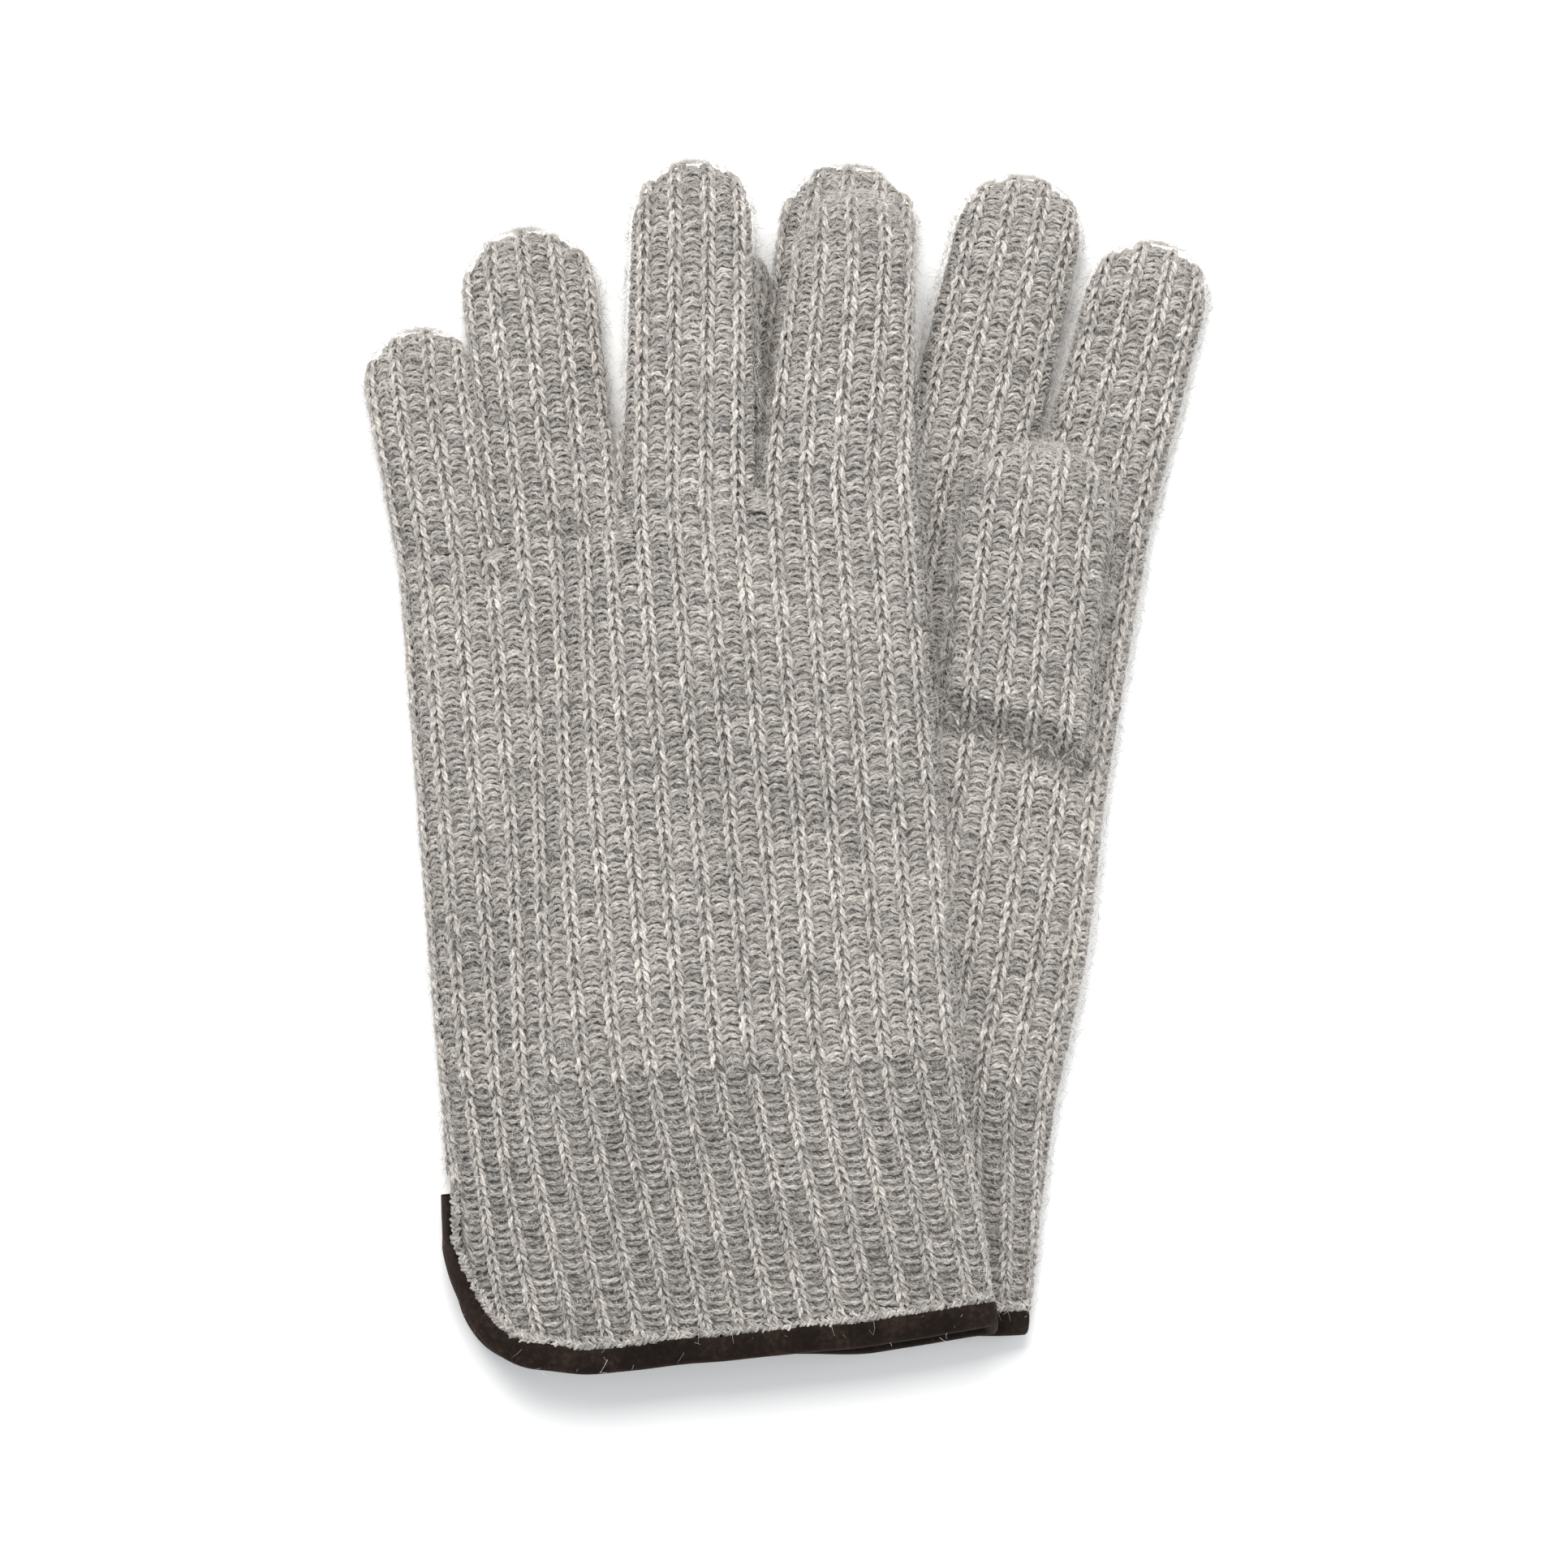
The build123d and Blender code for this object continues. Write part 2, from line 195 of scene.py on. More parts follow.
def glove_frame(joint, u, v):
    """A glove's origin and its u and v directions, from a hinge whose u and v are known."""
    across = np.array(JOINTS[joint]["axis"], float)
    along = np.array([-across[1], across[0], 0.0])
    origin = np.array(JOINTS[joint]["pos_m"], float) / MM - across * u - along * v
    origin[2] = 0.0
    return origin, across, along


def mid_u(side, name):
    """The middle of a finger's base."""
    return sum(FINGERS[side][name][1:3]) / 2


PLACES = {
    "left": glove_frame("left_little_fold", mid_u("left", "little"), FINGERS["left"]["little"][0]),
    "right": glove_frame("right_thumb_open", 32.0, CREASE_V),
}


def world(side, u, v, z):
    """A place of a glove's frame in the shared frame, still in mm."""
    origin, across, along = PLACES[side]
    flat = origin + np.multiply.outer(u, across) + np.multiply.outer(v, along)
    flat[..., 2] = z
    return flat


# ---------------------------------------------------------------- shapes of the flattened tubes

def drape(u, v):
    """The left glove's underside: on the table, up a soft ramp, and over the right glove."""
    edge = EDGE_U + EDGE_SKEW * np.maximum(v - EDGE_V, 0.0)
    return STEP_UP * smooth((u - edge + RAMP_LEAD) / RAMP_RUN)


def thumb_bulge(u, v):
    """The left back's soft rise over its hidden thumb, steep along a slanting lower edge."""
    lower = BULGE_V - BULGE_SLANT * (u - 18.0)
    along = smooth((v - lower) / 13.0) * smooth((182.0 - v) / 34.0)
    across = smooth((u + 14.0) / 24.0) * smooth((60.0 - u) / 16.0)
    return BULGE * along * across - BULGE_DIP * np.exp(-((v - lower + 4.0) / 6.0) ** 2) * across


def wander(u, v):
    """The slow unevenness of cloth that lies loose."""
    slow = np.sin(u / 17.0 + 1.3) * np.sin(v / 23.0 + 0.4)
    quick = np.sin(u / 8.3 + v / 27.0) * np.sin(v / 11.5 - u / 39.0 + 2.0)
    return 0.38 * slow + 0.2 * quick


def thumb_room(u, v):
    """The hollow in the left palm that its thumb is pressed into."""
    across = smooth((u - 9.0) / 5.0) * smooth((49.0 - u) / 5.0)
    along = smooth((v - 116.0) / 4.0) * smooth((172.0 - v) / 8.0)
    return (PRESSED_THICK + 0.3) * across * along


def fork_dips(side, u, v):
    """How far a hand's faces are drawn in towards the forks of the fingers."""
    depth = 0.0
    names = ("little", "ring", "middle", "index")
    for near, far in zip(names, names[1:]):
        fork_u = (FINGERS[side][near][2] + FINGERS[side][far][1]) / 2
        fork_v = FINGERS[side][near][0]
        along = smooth((v - fork_v + 15.0) / 15.0)
        depth = depth + 4.0 * along * np.exp(-(((u - fork_u) / 2.7) ** 2))
    return depth


def crease_dip(u, v):
    """The right palm's dip at the foot of its folded thumb."""
    across = smooth((u - 11.0) / 6.0) * smooth((52.0 - u) / 6.0)
    past_crease = v - FOOT_CREASE_V + FOOT_SLANT * (u - FOOT_U)
    return 1.7 * across * np.exp(-((past_crease / 3.2) ** 2))


def hand_relief(side, face, u, v):
    """The rises and dips of a hand's two faces."""
    dips = fork_dips(side, u, v)
    if face < 0:
        return 0.6 * dips + (thumb_room(u, v) if side == "left" else 0.0)
    if side == "left":
        return thumb_bulge(u, v) + wander(u, v) - dips
    return 0.5 * wander(u + 40.0, v) - dips - crease_dip(u, v)


def soft_relief(side, face, u, v):
    """The slight unevenness of a finger or thumb."""
    return (0.6 if face > 0 else 0.0) * wander(u * 1.4, v * 1.3)


def hand_low(side):
    """The underside of a hand and cuff."""
    return drape if side == "left" else lambda u, v: 0.0 * u


def hand_high(side):
    """The upper face of a hand and cuff."""
    if side == "left":
        return lambda u, v: drape(u, v) + TUBE
    return lambda u, v: TUBE - 0.2 + 0.0 * u


def hand_sides(side, v):
    """The side edges of a hand and cuff."""
    flare = np.maximum(1.0 - v / WRIST_V, 0.0)
    if side == "left":
        return -51.7 - 2.9 * flare, 54.2 + 2.1 * flare
    waist = 1.8 * smooth(1.0 - np.abs(v - 88.0) / 40.0)
    return -52.4 - 1.6 * flare, 52.4 + waist + 1.8 * flare


def finger_floor(side, name, u, v):
    """How a finger lies: on the table, or level over the glove underneath."""
    if side == "right":
        return 0.0 * u
    base = FINGERS[side][name][0]
    fade = smooth((v - base) / FADE_RUN) if name in ("little", "ring") else 0.0 * v
    return drape(u, base) * (1.0 - fade)


class Tube:
    """A flattened tube as tables of places and outward directions, one for each face.

    A place on it is (face, a, t): a is measured round the tube from its middle, t along it.
    """

    COLUMNS = 181
    FINE_COLUMNS = 241

    def __init__(self, side, rows, low, high, round_side, crown, relief, at_wrist=False):
        self.t = np.array([row[0] for row in rows])
        self.at_wrist = at_wrist
        w = np.linspace(-1.0, 1.0, self.FINE_COLUMNS)
        x = np.sign(w) * (1.0 - (1.0 - np.abs(w)) ** 3)
        share = np.linspace(-1.0, 1.0, self.COLUMNS)
        tables = {1: [], -1: []}
        flat = {1: [], -1: []}
        self.reach = {1: [], -1: []}
        for _, v, left, right, thin in rows:
            half = (right - left) / 2 + EDGE_OUT
            u = (left + right) / 2 + half * x
            lo, hi = low(u, v), high(u, v)
            radius = min(round_side, half)
            past = np.clip((np.abs(x) * half - half + radius) / radius, 0.0, 1.0)
            y = np.sqrt(1.0 - past * past) * (1.0 - crown * x * x) * thin
            for face in (1, -1):
                z = (lo + hi) / 2 + face * (hi - lo) / 2 * y
                run = np.concatenate([[0.0], np.cumsum(np.hypot(np.diff(u), np.diff(z)))])
                middle = run[len(run) // 2]
                ends = (middle, run[-1] - middle)
                at = middle + np.where(share < 0, share * ends[0], share * ends[1])
                u_at, z_at = np.interp(at, run, u), np.interp(at, run, z)
                z_at = z_at + relief(side, face, u_at, v) * np.interp(at, run, y)
                tables[face].append(world(side, u_at, np.full_like(u_at, v), z_at))
                flat[face].append(np.stack([u_at, np.full_like(u_at, v)], -1))
                self.reach[face].append(ends)
        self.place, self.out, self.flat = {}, {}, {}
        for face in (1, -1):
            place = np.array(tables[face])
            across = np.gradient(place, axis=1)
            along = np.gradient(place, axis=0)
            out = np.cross(across, along) * face
            out /= np.maximum(np.linalg.norm(out, axis=-1, keepdims=True), 1e-9)
            self.place[face], self.out[face] = place, out
            self.flat[face] = np.array(flat[face])
            self.reach[face] = np.array(self.reach[face])

    def ends(self, face, t):
        """How far a goes to the left and to the right at t."""
        reach = self.reach[face]
        return np.interp(t, self.t, reach[:, 0]), np.interp(t, self.t, reach[:, 1])

    def sample(self, table, face, a, t):
        """A table's value at (a, t)."""
        left, right = self.ends(face, t)
        share = np.clip(np.where(a < 0, a / left, a / right), -1.0, 1.0)
        g = (share + 1.0) / 2 * (self.COLUMNS - 1)
        f = np.interp(t, self.t, np.arange(len(self.t)))
        i, j = np.minimum(f.astype(int), len(self.t) - 2), np.minimum(g.astype(int), self.COLUMNS - 2)
        p, q = (f - i)[..., None], (g - j)[..., None]
        return (
            table[i, j] * (1 - p) * (1 - q) + table[i + 1, j] * p * (1 - q)
            + table[i, j + 1] * (1 - p) * q + table[i + 1, j + 1] * p * q
        )

    def at(self, face, a, t, h):
        """Places h above the base fabric, and the outward directions there."""
        out = self.sample(self.out[face], face, a, t)
        out = out / np.maximum(np.linalg.norm(out, axis=-1, keepdims=True), 1e-9)
        place = self.sample(self.place[face], face, a, t)
        return place + out * (np.asarray(h)[..., None] - SKIN), out

    def uv(self, face, a, t):
        """The glove-frame u and v at (a, t)."""
        return self.sample(self.flat[face], face, a, t)


def hand_tube(side):
    """The tube of a hand and its cuff."""
    rows = []
    for v in np.linspace(BELOW_HEM, TOP_OF_HAND, HAND_ROWS):
        left, right = hand_sides(side, v)
        rows.append((v, v, left, right, 1.0))
    return Tube(side, rows, hand_low(side), hand_high(side), *SECTIONS["hand"], hand_relief, True)


def closed_tube(side, shape, start, low, high, round_side, crown):
    """A finger's or a thumb's tube from start to its rounded tip."""
    base, left_0, right_0, shoulder, left_1, right_1, tip, tip_u = shape
    rows = []
    for v in np.linspace(start, shoulder, DIGIT_ROWS):
        share = (v - base) / (shoulder - base)
        left = left_0 + (left_1 - left_0) * share
        right = right_0 + (right_1 - right_0) * share
        rows.append((v, v, left, right, 1.0))
    half, centre = (right_1 - left_1) / 2, (left_1 + right_1) / 2
    t, before = shoulder, (shoulder, TUBE / 2)
    for angle in np.radians(np.linspace(3.5, 89.0, TIP_ROWS)):
        v = shoulder + (tip - shoulder) * math.sin(angle)
        middle = centre + (tip_u - centre) * math.sin(angle)
        wide, thin = half * math.cos(angle), math.cos(angle) ** 0.45
        t += math.hypot(v - before[0], thin * TUBE / 2 - before[1])
        before = (v, thin * TUBE / 2)
        rows.append((t, v, middle - wide, middle + wide, thin))
    return Tube(side, rows, low, high, round_side, crown, soft_relief)


def finger_tube(side, name):
    """A finger's tube, which starts a little way inside the hand."""
    low = lambda u, v: finger_floor(side, name, u, v)
    high = lambda u, v: finger_floor(side, name, u, v) + TUBE - (0.0 if side == "left" else 0.2)
    shape = FINGERS[side][name]
    return closed_tube(side, shape, shape[0] - 3.0, low, high, *SECTIONS["finger"])


def thumb_tube(side):
    """The right thumb, folded on its palm, or the left one, pressed under its palm."""
    if side == "left":
        low = lambda u, v: STEP_UP + 0.0 * u
        high = lambda u, v: STEP_UP + PRESSED_THICK + 0.0 * u
        return closed_tube(side, THUMBS[side], THUMBS[side][0], low, high, *SECTIONS["pressed"])
    past_foot = lambda u, v: (v - FOOT_V + FOOT_SLANT * (u - FOOT_U)) / FOOT_RUN
    rise = THUMB_THICK + FOOT_SUNK
    high = lambda u, v: STEP_UP - FOOT_SUNK + rise * smooth(past_foot(u, v))
    low = lambda u, v: np.minimum(STEP_UP - 1.2, high(u, v) - 2.5)
    return closed_tube(side, THUMBS[side], THUMBS[side][0], low, high, *SECTIONS["thumb"])


# ---------------------------------------------------------------- meshes

class Cloth:
    """Vertices, quads and their coordinates, gathered from several pieces of one mesh.

    On the map for baking, sheets take the left third and strands share the rest in cells.
    """

    def __init__(self):
        self.verts, self.quads, self.stitch, self.bake, self.tone = [], [], [], [], []
        self.count = 0

    def add(self, verts, quads, stitch, bake, tone):
        """One more block: stitch and bake coordinates are given for each corner of each quad."""
        self.verts.append(verts)
        self.quads.append(quads + self.count)
        self.stitch.append(stitch)
        self.bake.append(bake)
        self.tone.append(tone)
        self.count += len(verts)

    def grid(self, place, stitch, tone):
        """A sheet of quads through an array of places."""
        n, m = place.shape[:2]
        index = np.arange(n * m).reshape(n, m)
        corners = (slice(0, -1), slice(0, -1)), (slice(0, -1), slice(1, None)), \
            (slice(1, None), slice(1, None)), (slice(1, None), slice(0, -1))
        quads = np.stack([index[c] for c in corners], -1).reshape(-1, 4)
        i, j = np.meshgrid(np.linspace(0.01, 0.99, n), np.linspace(0.005, 0.325, m), indexing="ij")
        bake = np.stack([j, i], -1)
        pick = lambda table: np.stack([table[c] for c in corners], 2).reshape(-1, 4, 2)
        self.add(place.reshape(-1, 3), quads, pick(stitch), pick(bake), np.full(n * m, tone))

    def strands(self, centre, out, wide, thick, sides, tone):
        """Round strands along paths, given as arrays of (strand, point, xyz)."""
        count, points = centre.shape[:2]
        if count == 0:
            return
        along = np.gradient(centre, axis=1)
        along /= np.maximum(np.linalg.norm(along, axis=-1, keepdims=True), 1e-9)
        side = np.cross(along, out)
        side /= np.maximum(np.linalg.norm(side, axis=-1, keepdims=True), 1e-9)
        up = np.cross(side, along)
        angle = np.arange(sides) / sides * 2 * np.pi
        taper = np.ones(points)
        taper[[0, -1]] = 0.55
        ring = lambda direction, size, wave: (
            direction[:, :, None] * (size[:, None, None] * taper[None, :, None] * wave)[..., None]
        )
        verts = centre[:, :, None] + ring(side, wide, np.cos(angle)) + ring(up, thick, np.sin(angle))
        run = np.linalg.norm(np.diff(centre, axis=1), axis=-1).cumsum(1)
        run = np.concatenate([np.zeros((count, 1)), run], 1) + RNG.uniform(0, 400, (count, 1))
        s, k, m = np.meshgrid(np.arange(count), np.arange(points - 1), np.arange(sides), indexing="ij")
        corner = lambda dk, dm: (s * points + k + dk) * sides + (m + dm) % sides
        quads = np.stack([corner(0, 0), corner(0, 1), corner(1, 1), corner(1, 0)], -1).reshape(-1, 4)
        cells = int(math.ceil(math.sqrt(count)))
        stitch, bake = [], []
        for dk, dm in ((0, 0), (0, 1), (1, 1), (1, 0)):
            stitch.append(np.stack([run[s, k + dk], (m + dm) / sides], -1))
            x = (s % cells + 0.05 + 0.9 * (k + dk) / (points - 1)) / cells
            y = (s // cells + 0.05 + 0.9 * (m + dm) / sides) / cells
            bake.append(np.stack([0.335 + 0.66 * x, 0.995 * y], -1))
        gather = lambda parts: np.stack(parts, 3).reshape(-1, 4, 2)
        self.add(verts.reshape(-1, 3), quads, gather(stitch), gather(bake),
                 np.repeat(tone, points * sides))

    def yarn(self, centre, out, thick, sides, tone):
        """Two plies that twist round each other along each path."""
        along = np.gradient(centre, axis=1)
        side = np.cross(along, out)
        side /= np.maximum(np.linalg.norm(side, axis=-1, keepdims=True), 1e-9)
        run = np.linalg.norm(along, axis=-1).cumsum(1)
        turn = run * TWIST + RNG.uniform(0, 2 * np.pi, (len(centre), 1))
        for ply in (0.0, np.pi):
            swing = side * np.cos(turn + ply)[..., None] + out * 0.8 * np.sin(turn + ply)[..., None]
            shade = tone + RNG.uniform(-0.25, 0.25, len(tone))
            self.strands(centre + swing * 0.56 * thick[:, None, None], out, thick * 0.66, thick * 0.6,
                         sides, shade)

    def ribbons(self, centre, out, wide, tone):
        """Flat fibres along paths, thinning towards their ends."""
        count, points = centre.shape[:2]
        along = np.gradient(centre, axis=1)
        side = np.cross(along, out)
        side /= np.maximum(np.linalg.norm(side, axis=-1, keepdims=True), 1e-9)
        reach = side * (wide[:, None] * np.linspace(1.0, 0.35, points))[..., None]
        verts = np.stack([centre - reach, centre + reach], 2)
        s, k = np.meshgrid(np.arange(count), np.arange(points - 1), indexing="ij")
        corner = lambda dk, m: (s * points + k + dk) * 2 + m
        quads = np.stack([corner(0, 0), corner(0, 1), corner(1, 1), corner(1, 0)], -1).reshape(-1, 4)
        where = RNG.uniform(0, 400, count)
        stitch = np.stack([np.stack([where[s] + (k + dk) * 0.5, m + 0.0 * s], -1)
                           for dk, m in ((0, 0), (0, 1), (1, 1), (1, 0))], 2).reshape(-1, 4, 2)
        cells = int(math.ceil(math.sqrt(count)))
        bake = np.stack([np.stack([(s % cells + 0.1 + 0.8 * (k + dk) / (points - 1)) / cells,
                                   (s // cells + 0.1 + 0.8 * m) / cells], -1)
                         for dk, m in ((0, 0), (0, 1), (1, 1), (1, 0))], 2).reshape(-1, 4, 2)
        self.add(verts.reshape(-1, 3), quads, stitch, bake, np.repeat(tone, points * 2))

    def make(self, name, material):
        """The Blender object, smooth shaded, resting on the table where it reaches it."""
        verts = np.concatenate(self.verts)
        verts[:, 2] = np.maximum(verts[:, 2], FLOOR_GAP)
        mesh = bpy.data.meshes.new(name)
        mesh.from_pydata(verts * MM, [], np.concatenate(self.quads))
        for label, blocks in (("Stitch", self.stitch), ("OFBake", self.bake)):
            layer = mesh.uv_layers.new(name=label)
            layer.data.foreach_set("uv", np.concatenate(blocks).astype(np.float32).ravel())
        mesh.uv_layers.active = mesh.uv_layers["Stitch"]
        mesh.uv_layers["Stitch"].active_render = True
        tone = mesh.attributes.new("tone", "FLOAT", "POINT")
        tone.data.foreach_set("value", np.concatenate(self.tone).astype(np.float32))
        mesh.polygons.foreach_set("use_smooth", np.ones(len(mesh.polygons), bool))
        mesh.materials.append(material)
        piece = bpy.data.objects.new(name, mesh)
        bpy.context.scene.collection.objects.link(piece)
        return piece


# ---------------------------------------------------------------- knitting

def lean(tube, t):
    """How far the ribs drift sideways from the hand down to the hem, with a soft bend at the wrist."""
    if not tube.at_wrist:
        return 0.0 * t
    past = np.maximum(WRIST_V + BEND - t, 0.0)
    return CUFF_LEAN * np.where(past < 2 * BEND, past * past / (4 * BEND), past - BEND)


def ribs_on(tube, face, t0, t1, phase):
    """The numbers of the ribs that cross a face."""
    left, right = tube.ends(face, np.array([t0, t1]))
    first = math.ceil((-left.max() - 2 * abs(lean(tube, t0))) / RIB - phase)
    last = math.floor(right.max() / RIB - phase)
    return np.arange(first, last + 1)


def keep_inside(tube, face, a, t, margin, inside):
    """Which strands lie on the face and on this piece."""
    left, right = tube.ends(face, t)
    on_face = (a > -left + margin) & (a < right - margin)
    where = tube.uv(face, a, t)
    return on_face & inside(where[..., 0], where[..., 1])


def knit_ribs(cloth, tube, face, t0, t1, phase, inside, cuff):
    """The chain ribs: each link is two legs that lean together towards the fingertips."""
    row = CUFF_ROW if cuff else ROW
    size = 0.84 if cuff else 1.0
    # The cuff's ribs are darkened by a quarter of the valleys' painted shade
    shade = CUFF_PAINTED_SHADE / 4 if cuff else 0.0
    ribs = ribs_on(tube, face, t0, t1, phase)
    rows = np.arange(t0 + row * 0.5, t1, row)
    k, t = np.meshgrid(ribs, rows, indexing="ij")
    t = t + RNG.uniform(0, row, (len(ribs), 1)) - row / 2 + RNG.normal(0, 0.1, t.shape)
    a = (k + phase) * RIB + lean(tube, t)
    keep = keep_inside(tube, face, a, t, 0.3, inside)
    a, t = a[keep], t[keep]
    s = np.linspace(0.0, 1.0, 6)
    for sign in (-1.0, 1.0):
        wide = (LEG_FEET + (LEG_HEADS - LEG_FEET) * s ** 0.9) * size
        jitter = RNG.normal(0, 0.09, (len(a), 1))
        path_t = t[:, None] + row * (-0.62 + 1.3 * s) + jitter
        shift = lean(tube, path_t) - lean(tube, t)[:, None]
        path_a = a[:, None] + shift + sign * wide + RNG.normal(0, 0.08, (len(a), 1))
        lift = np.array([0.05, 0.42, 0.6, 0.58, 0.35, -0.2]) * size
        path_h = RIDGE * (0.75 if cuff else 1.0) + lift + RNG.normal(0, 0.07, (len(a), 1))
        centre, out = tube.at(face, path_a, path_t, path_h)
        thick = YARN * 1.08 * size * RNG.uniform(0.85, 1.15, len(a))
        cloth.yarn(centre, out, thick, 5, RNG.uniform(0.4, 1.05, len(a)) - shade)


def knit_arches(cloth, tube, face, t0, t1, phase, inside, cuff):
    """The strands that arch from rib to rib, or the purl bumps of a cuff."""
    step = CUFF_ARCH if cuff else ARCH
    # The cuff's purl bumps, low in the valleys between ribs, are darkened as painted shade
    shade = CUFF_PAINTED_SHADE if cuff else 0.0
    ribs = ribs_on(tube, face, t0, t1, phase)
    rows = np.arange(t0 + step * 0.5, t1, step)
    k, t = np.meshgrid(np.append(ribs[0] - 1, ribs), rows, indexing="ij")
    t = t + RNG.uniform(0, step, (len(ribs) + 1, 1)) - step / 2 + RNG.normal(0, 0.09, t.shape)
    a = (k + phase + 0.5) * RIB + lean(tube, t)
    keep = keep_inside(tube, face, a, t, 0.2, inside)
    a, t = a[keep], t[keep]
    s = np.linspace(-1.0, 1.0, 6)
    reach = RIB / 2 - (0.95 if cuff else 0.8)
    rise = -0.42 if cuff else 1.35
    span = reach * RNG.uniform(0.86, 1.04, (len(a), 1))
    height = rise * RNG.uniform(0.6, 1.3, (len(a), 1))
    tilt = RNG.normal(0, 0.1 if cuff else 0.3, (len(a), 1))
    path_a = a[:, None] + span * s + RNG.normal(0, 0.12, (len(a), 1))
    path_t = t[:, None] + height * (1.0 - np.abs(s) ** 1.3) + tilt * s - rise * 0.5
    drop = 0.5 if cuff else 0.32
    path_h = (0.42 if cuff else 0.3) - drop * s ** 4 + RNG.normal(0, 0.07, (len(a), 1))
    centre, out = tube.at(face, path_a, path_t, path_h)
    thick = YARN * (1.02 if cuff else 1.06) * RNG.uniform(0.85, 1.15, len(a))
    cloth.yarn(centre, out, thick, 4, RNG.uniform(0.2, 0.9, len(a)) - shade)


def base_cloth(cloth, tube, face, start, stop, phase, cell):
    """The fabric under the yarn, raised along each rib and darkened as painted shade for the gaps between
    the strands. start and stop give t for each column.
    """
    widest = tube.reach[face].max(axis=0).sum()
    b = np.linspace(-1, 1, int(widest / cell) + 1)
    t0, t1 = start(face, b), stop(face, b)
    rows = int(np.max(t1 - t0) / (cell * CELL_LENGTH)) + 2
    t = t0 + (t1 - t0) * np.linspace(0, 1, rows)[:, None]
    left, right = tube.ends(face, t)
    a = np.where(b < 0, b * left, b * right)
    wave = np.cos(2 * np.pi * ((a - lean(tube, t)) / RIB - phase))
    at_sides = smooth((1 - np.abs(b)) * 20)
    h = BASE_RIDGE * (0.5 + 0.5 * wave) ** 2 * at_sides
    place, _ = tube.at(face, a, t, h)
    stitch = np.stack([a, t / FIBRE_STRETCH], -1)
    if face < 0:
        place, stitch = place[:, ::-1], stitch[:, ::-1]
    # The sheet takes the dark tone of painted shade between the strands
    cloth.grid(place, stitch, BASE_PAINTED_SHADE)


def fuzz(tube, t0, t1, inside, density, rim_density, size=1.0):
    """Loose fibres: thin ribbons that lie over the upper face and stand off at its edges and tip."""
    cloth = Cloth()
    left, right = tube.ends(1, (t0 + t1) / 2)
    count, rim = int((left + right) * (t1 - t0) * density), int((t1 - t0) * rim_density)
    t = RNG.uniform(t0, t1, count + rim)
    b = RNG.uniform(-1, 1, count)
    b = np.append(b, RNG.choice([-1, 1], rim) * RNG.uniform(RIM_START, 1, rim))
    if t1 > SHORTEST_TIP:
        over = int(rim * 0.5)
        t = np.append(t, t1 - TIP_REACH * RNG.uniform(0, 1, over) ** 1.6)
        b = np.append(b, RNG.uniform(-1, 1, over))
    ends = tube.ends(1, t)
    a = np.where(b < 0, b * ends[0], b * ends[1])
    keep = keep_inside(tube, 1, a, t, -0.1, inside)
    a, t = a[keep], t[keep]
    n = len(a)
    turn = RNG.uniform(0, 2 * np.pi, (n, 1))
    length = RNG.gamma(2.2, 0.62, (n, 1)) * size + 0.5
    root, out = tube.at(1, a, t, RIDGE + 0.2)
    side = np.cross(out, UP + 0.01)
    side /= np.maximum(np.linalg.norm(side, axis=-1, keepdims=True), 1e-9)
    ahead = np.cross(out, side)
    s = np.linspace(0, 1, 4)[None, :]
    bend = turn + RNG.normal(0, 1.3, (n, 1)) * s
    stand = RNG.uniform(0.02, 0.5, (n, 1)) * size
    step = length / 3
    dx = np.cumsum(np.cos(bend), 1) * step
    dy = np.cumsum(np.sin(bend), 1) * step
    dz = length * stand * s ** 0.8 + RNG.uniform(0.1, 0.7, (n, 1))
    path = root[:, None] + side[:, None] * dx[..., None]
    path = path + ahead[:, None] * dy[..., None] + out[:, None] * dz[..., None]
    facing = UP + 0.6 * out[:, None] + 0.0 * path
    cloth.ribbons(path, facing, RNG.uniform(0.02, 0.045, n), RNG.uniform(-0.6, 1.2, n))
    return cloth


# ---------------------------------------------------------------- hems and suede bindings

def hem_line(shift):
    """The hem seen from above: round the vent's corner and across to the far side."""
    points = np.array([
        (-55.4, VENT_TOP_V), (-54.6, 29.0), (-53.4, 20.0 + shift * 0.2), (-50.6, 12.0 + shift * 0.35),
        (-46.5, 5.9 + shift * 0.5), (-40.0, 1.9 + shift * 0.6), (-27.0, -0.4 + shift * 0.7),
        (-8.0, 0.1 + shift * 0.8), (8.0, 0.4 + shift * 0.9), (24.0, 0.6 + shift),
        (40.0, 1.5 + shift * 1.15), (52.0, 2.7 + shift * 1.3), (70.0, 4.2 + shift * 1.5),
    ])
    seat = np.concatenate([[0], np.cumsum(np.linalg.norm(np.diff(points, axis=0), axis=1))])
    fine = np.linspace(0, seat[-1], 420)
    line = np.stack([np.interp(fine, seat, points[:, i]) for i in (0, 1)], -1)
    kernel = np.hanning(33) / np.hanning(33).sum()
    soft = np.stack([np.convolve(np.pad(line[:, i], 16, mode="edge"), kernel, "valid") for i in (0, 1)], -1)
    return soft


def hem_shift(side):
    """The right glove's hem starts further up its frame."""
    return RIGHT_HEM_SHIFT if side == "right" else 0.0


def layer_drop(side, face, u):
    """The palm layer's hem shows a little below the back's, towards the thumb side."""
    return 1.9 * smooth((u - 6.0) / 26.0) if (side == "left" and face < 0) else 0.0 * u


def hem_v(side, face, u):
    """The hem's v at a given u."""
    line = hem_line(hem_shift(side))
    return np.interp(u, line[:, 0], line[:, 1]) - layer_drop(side, face, u)


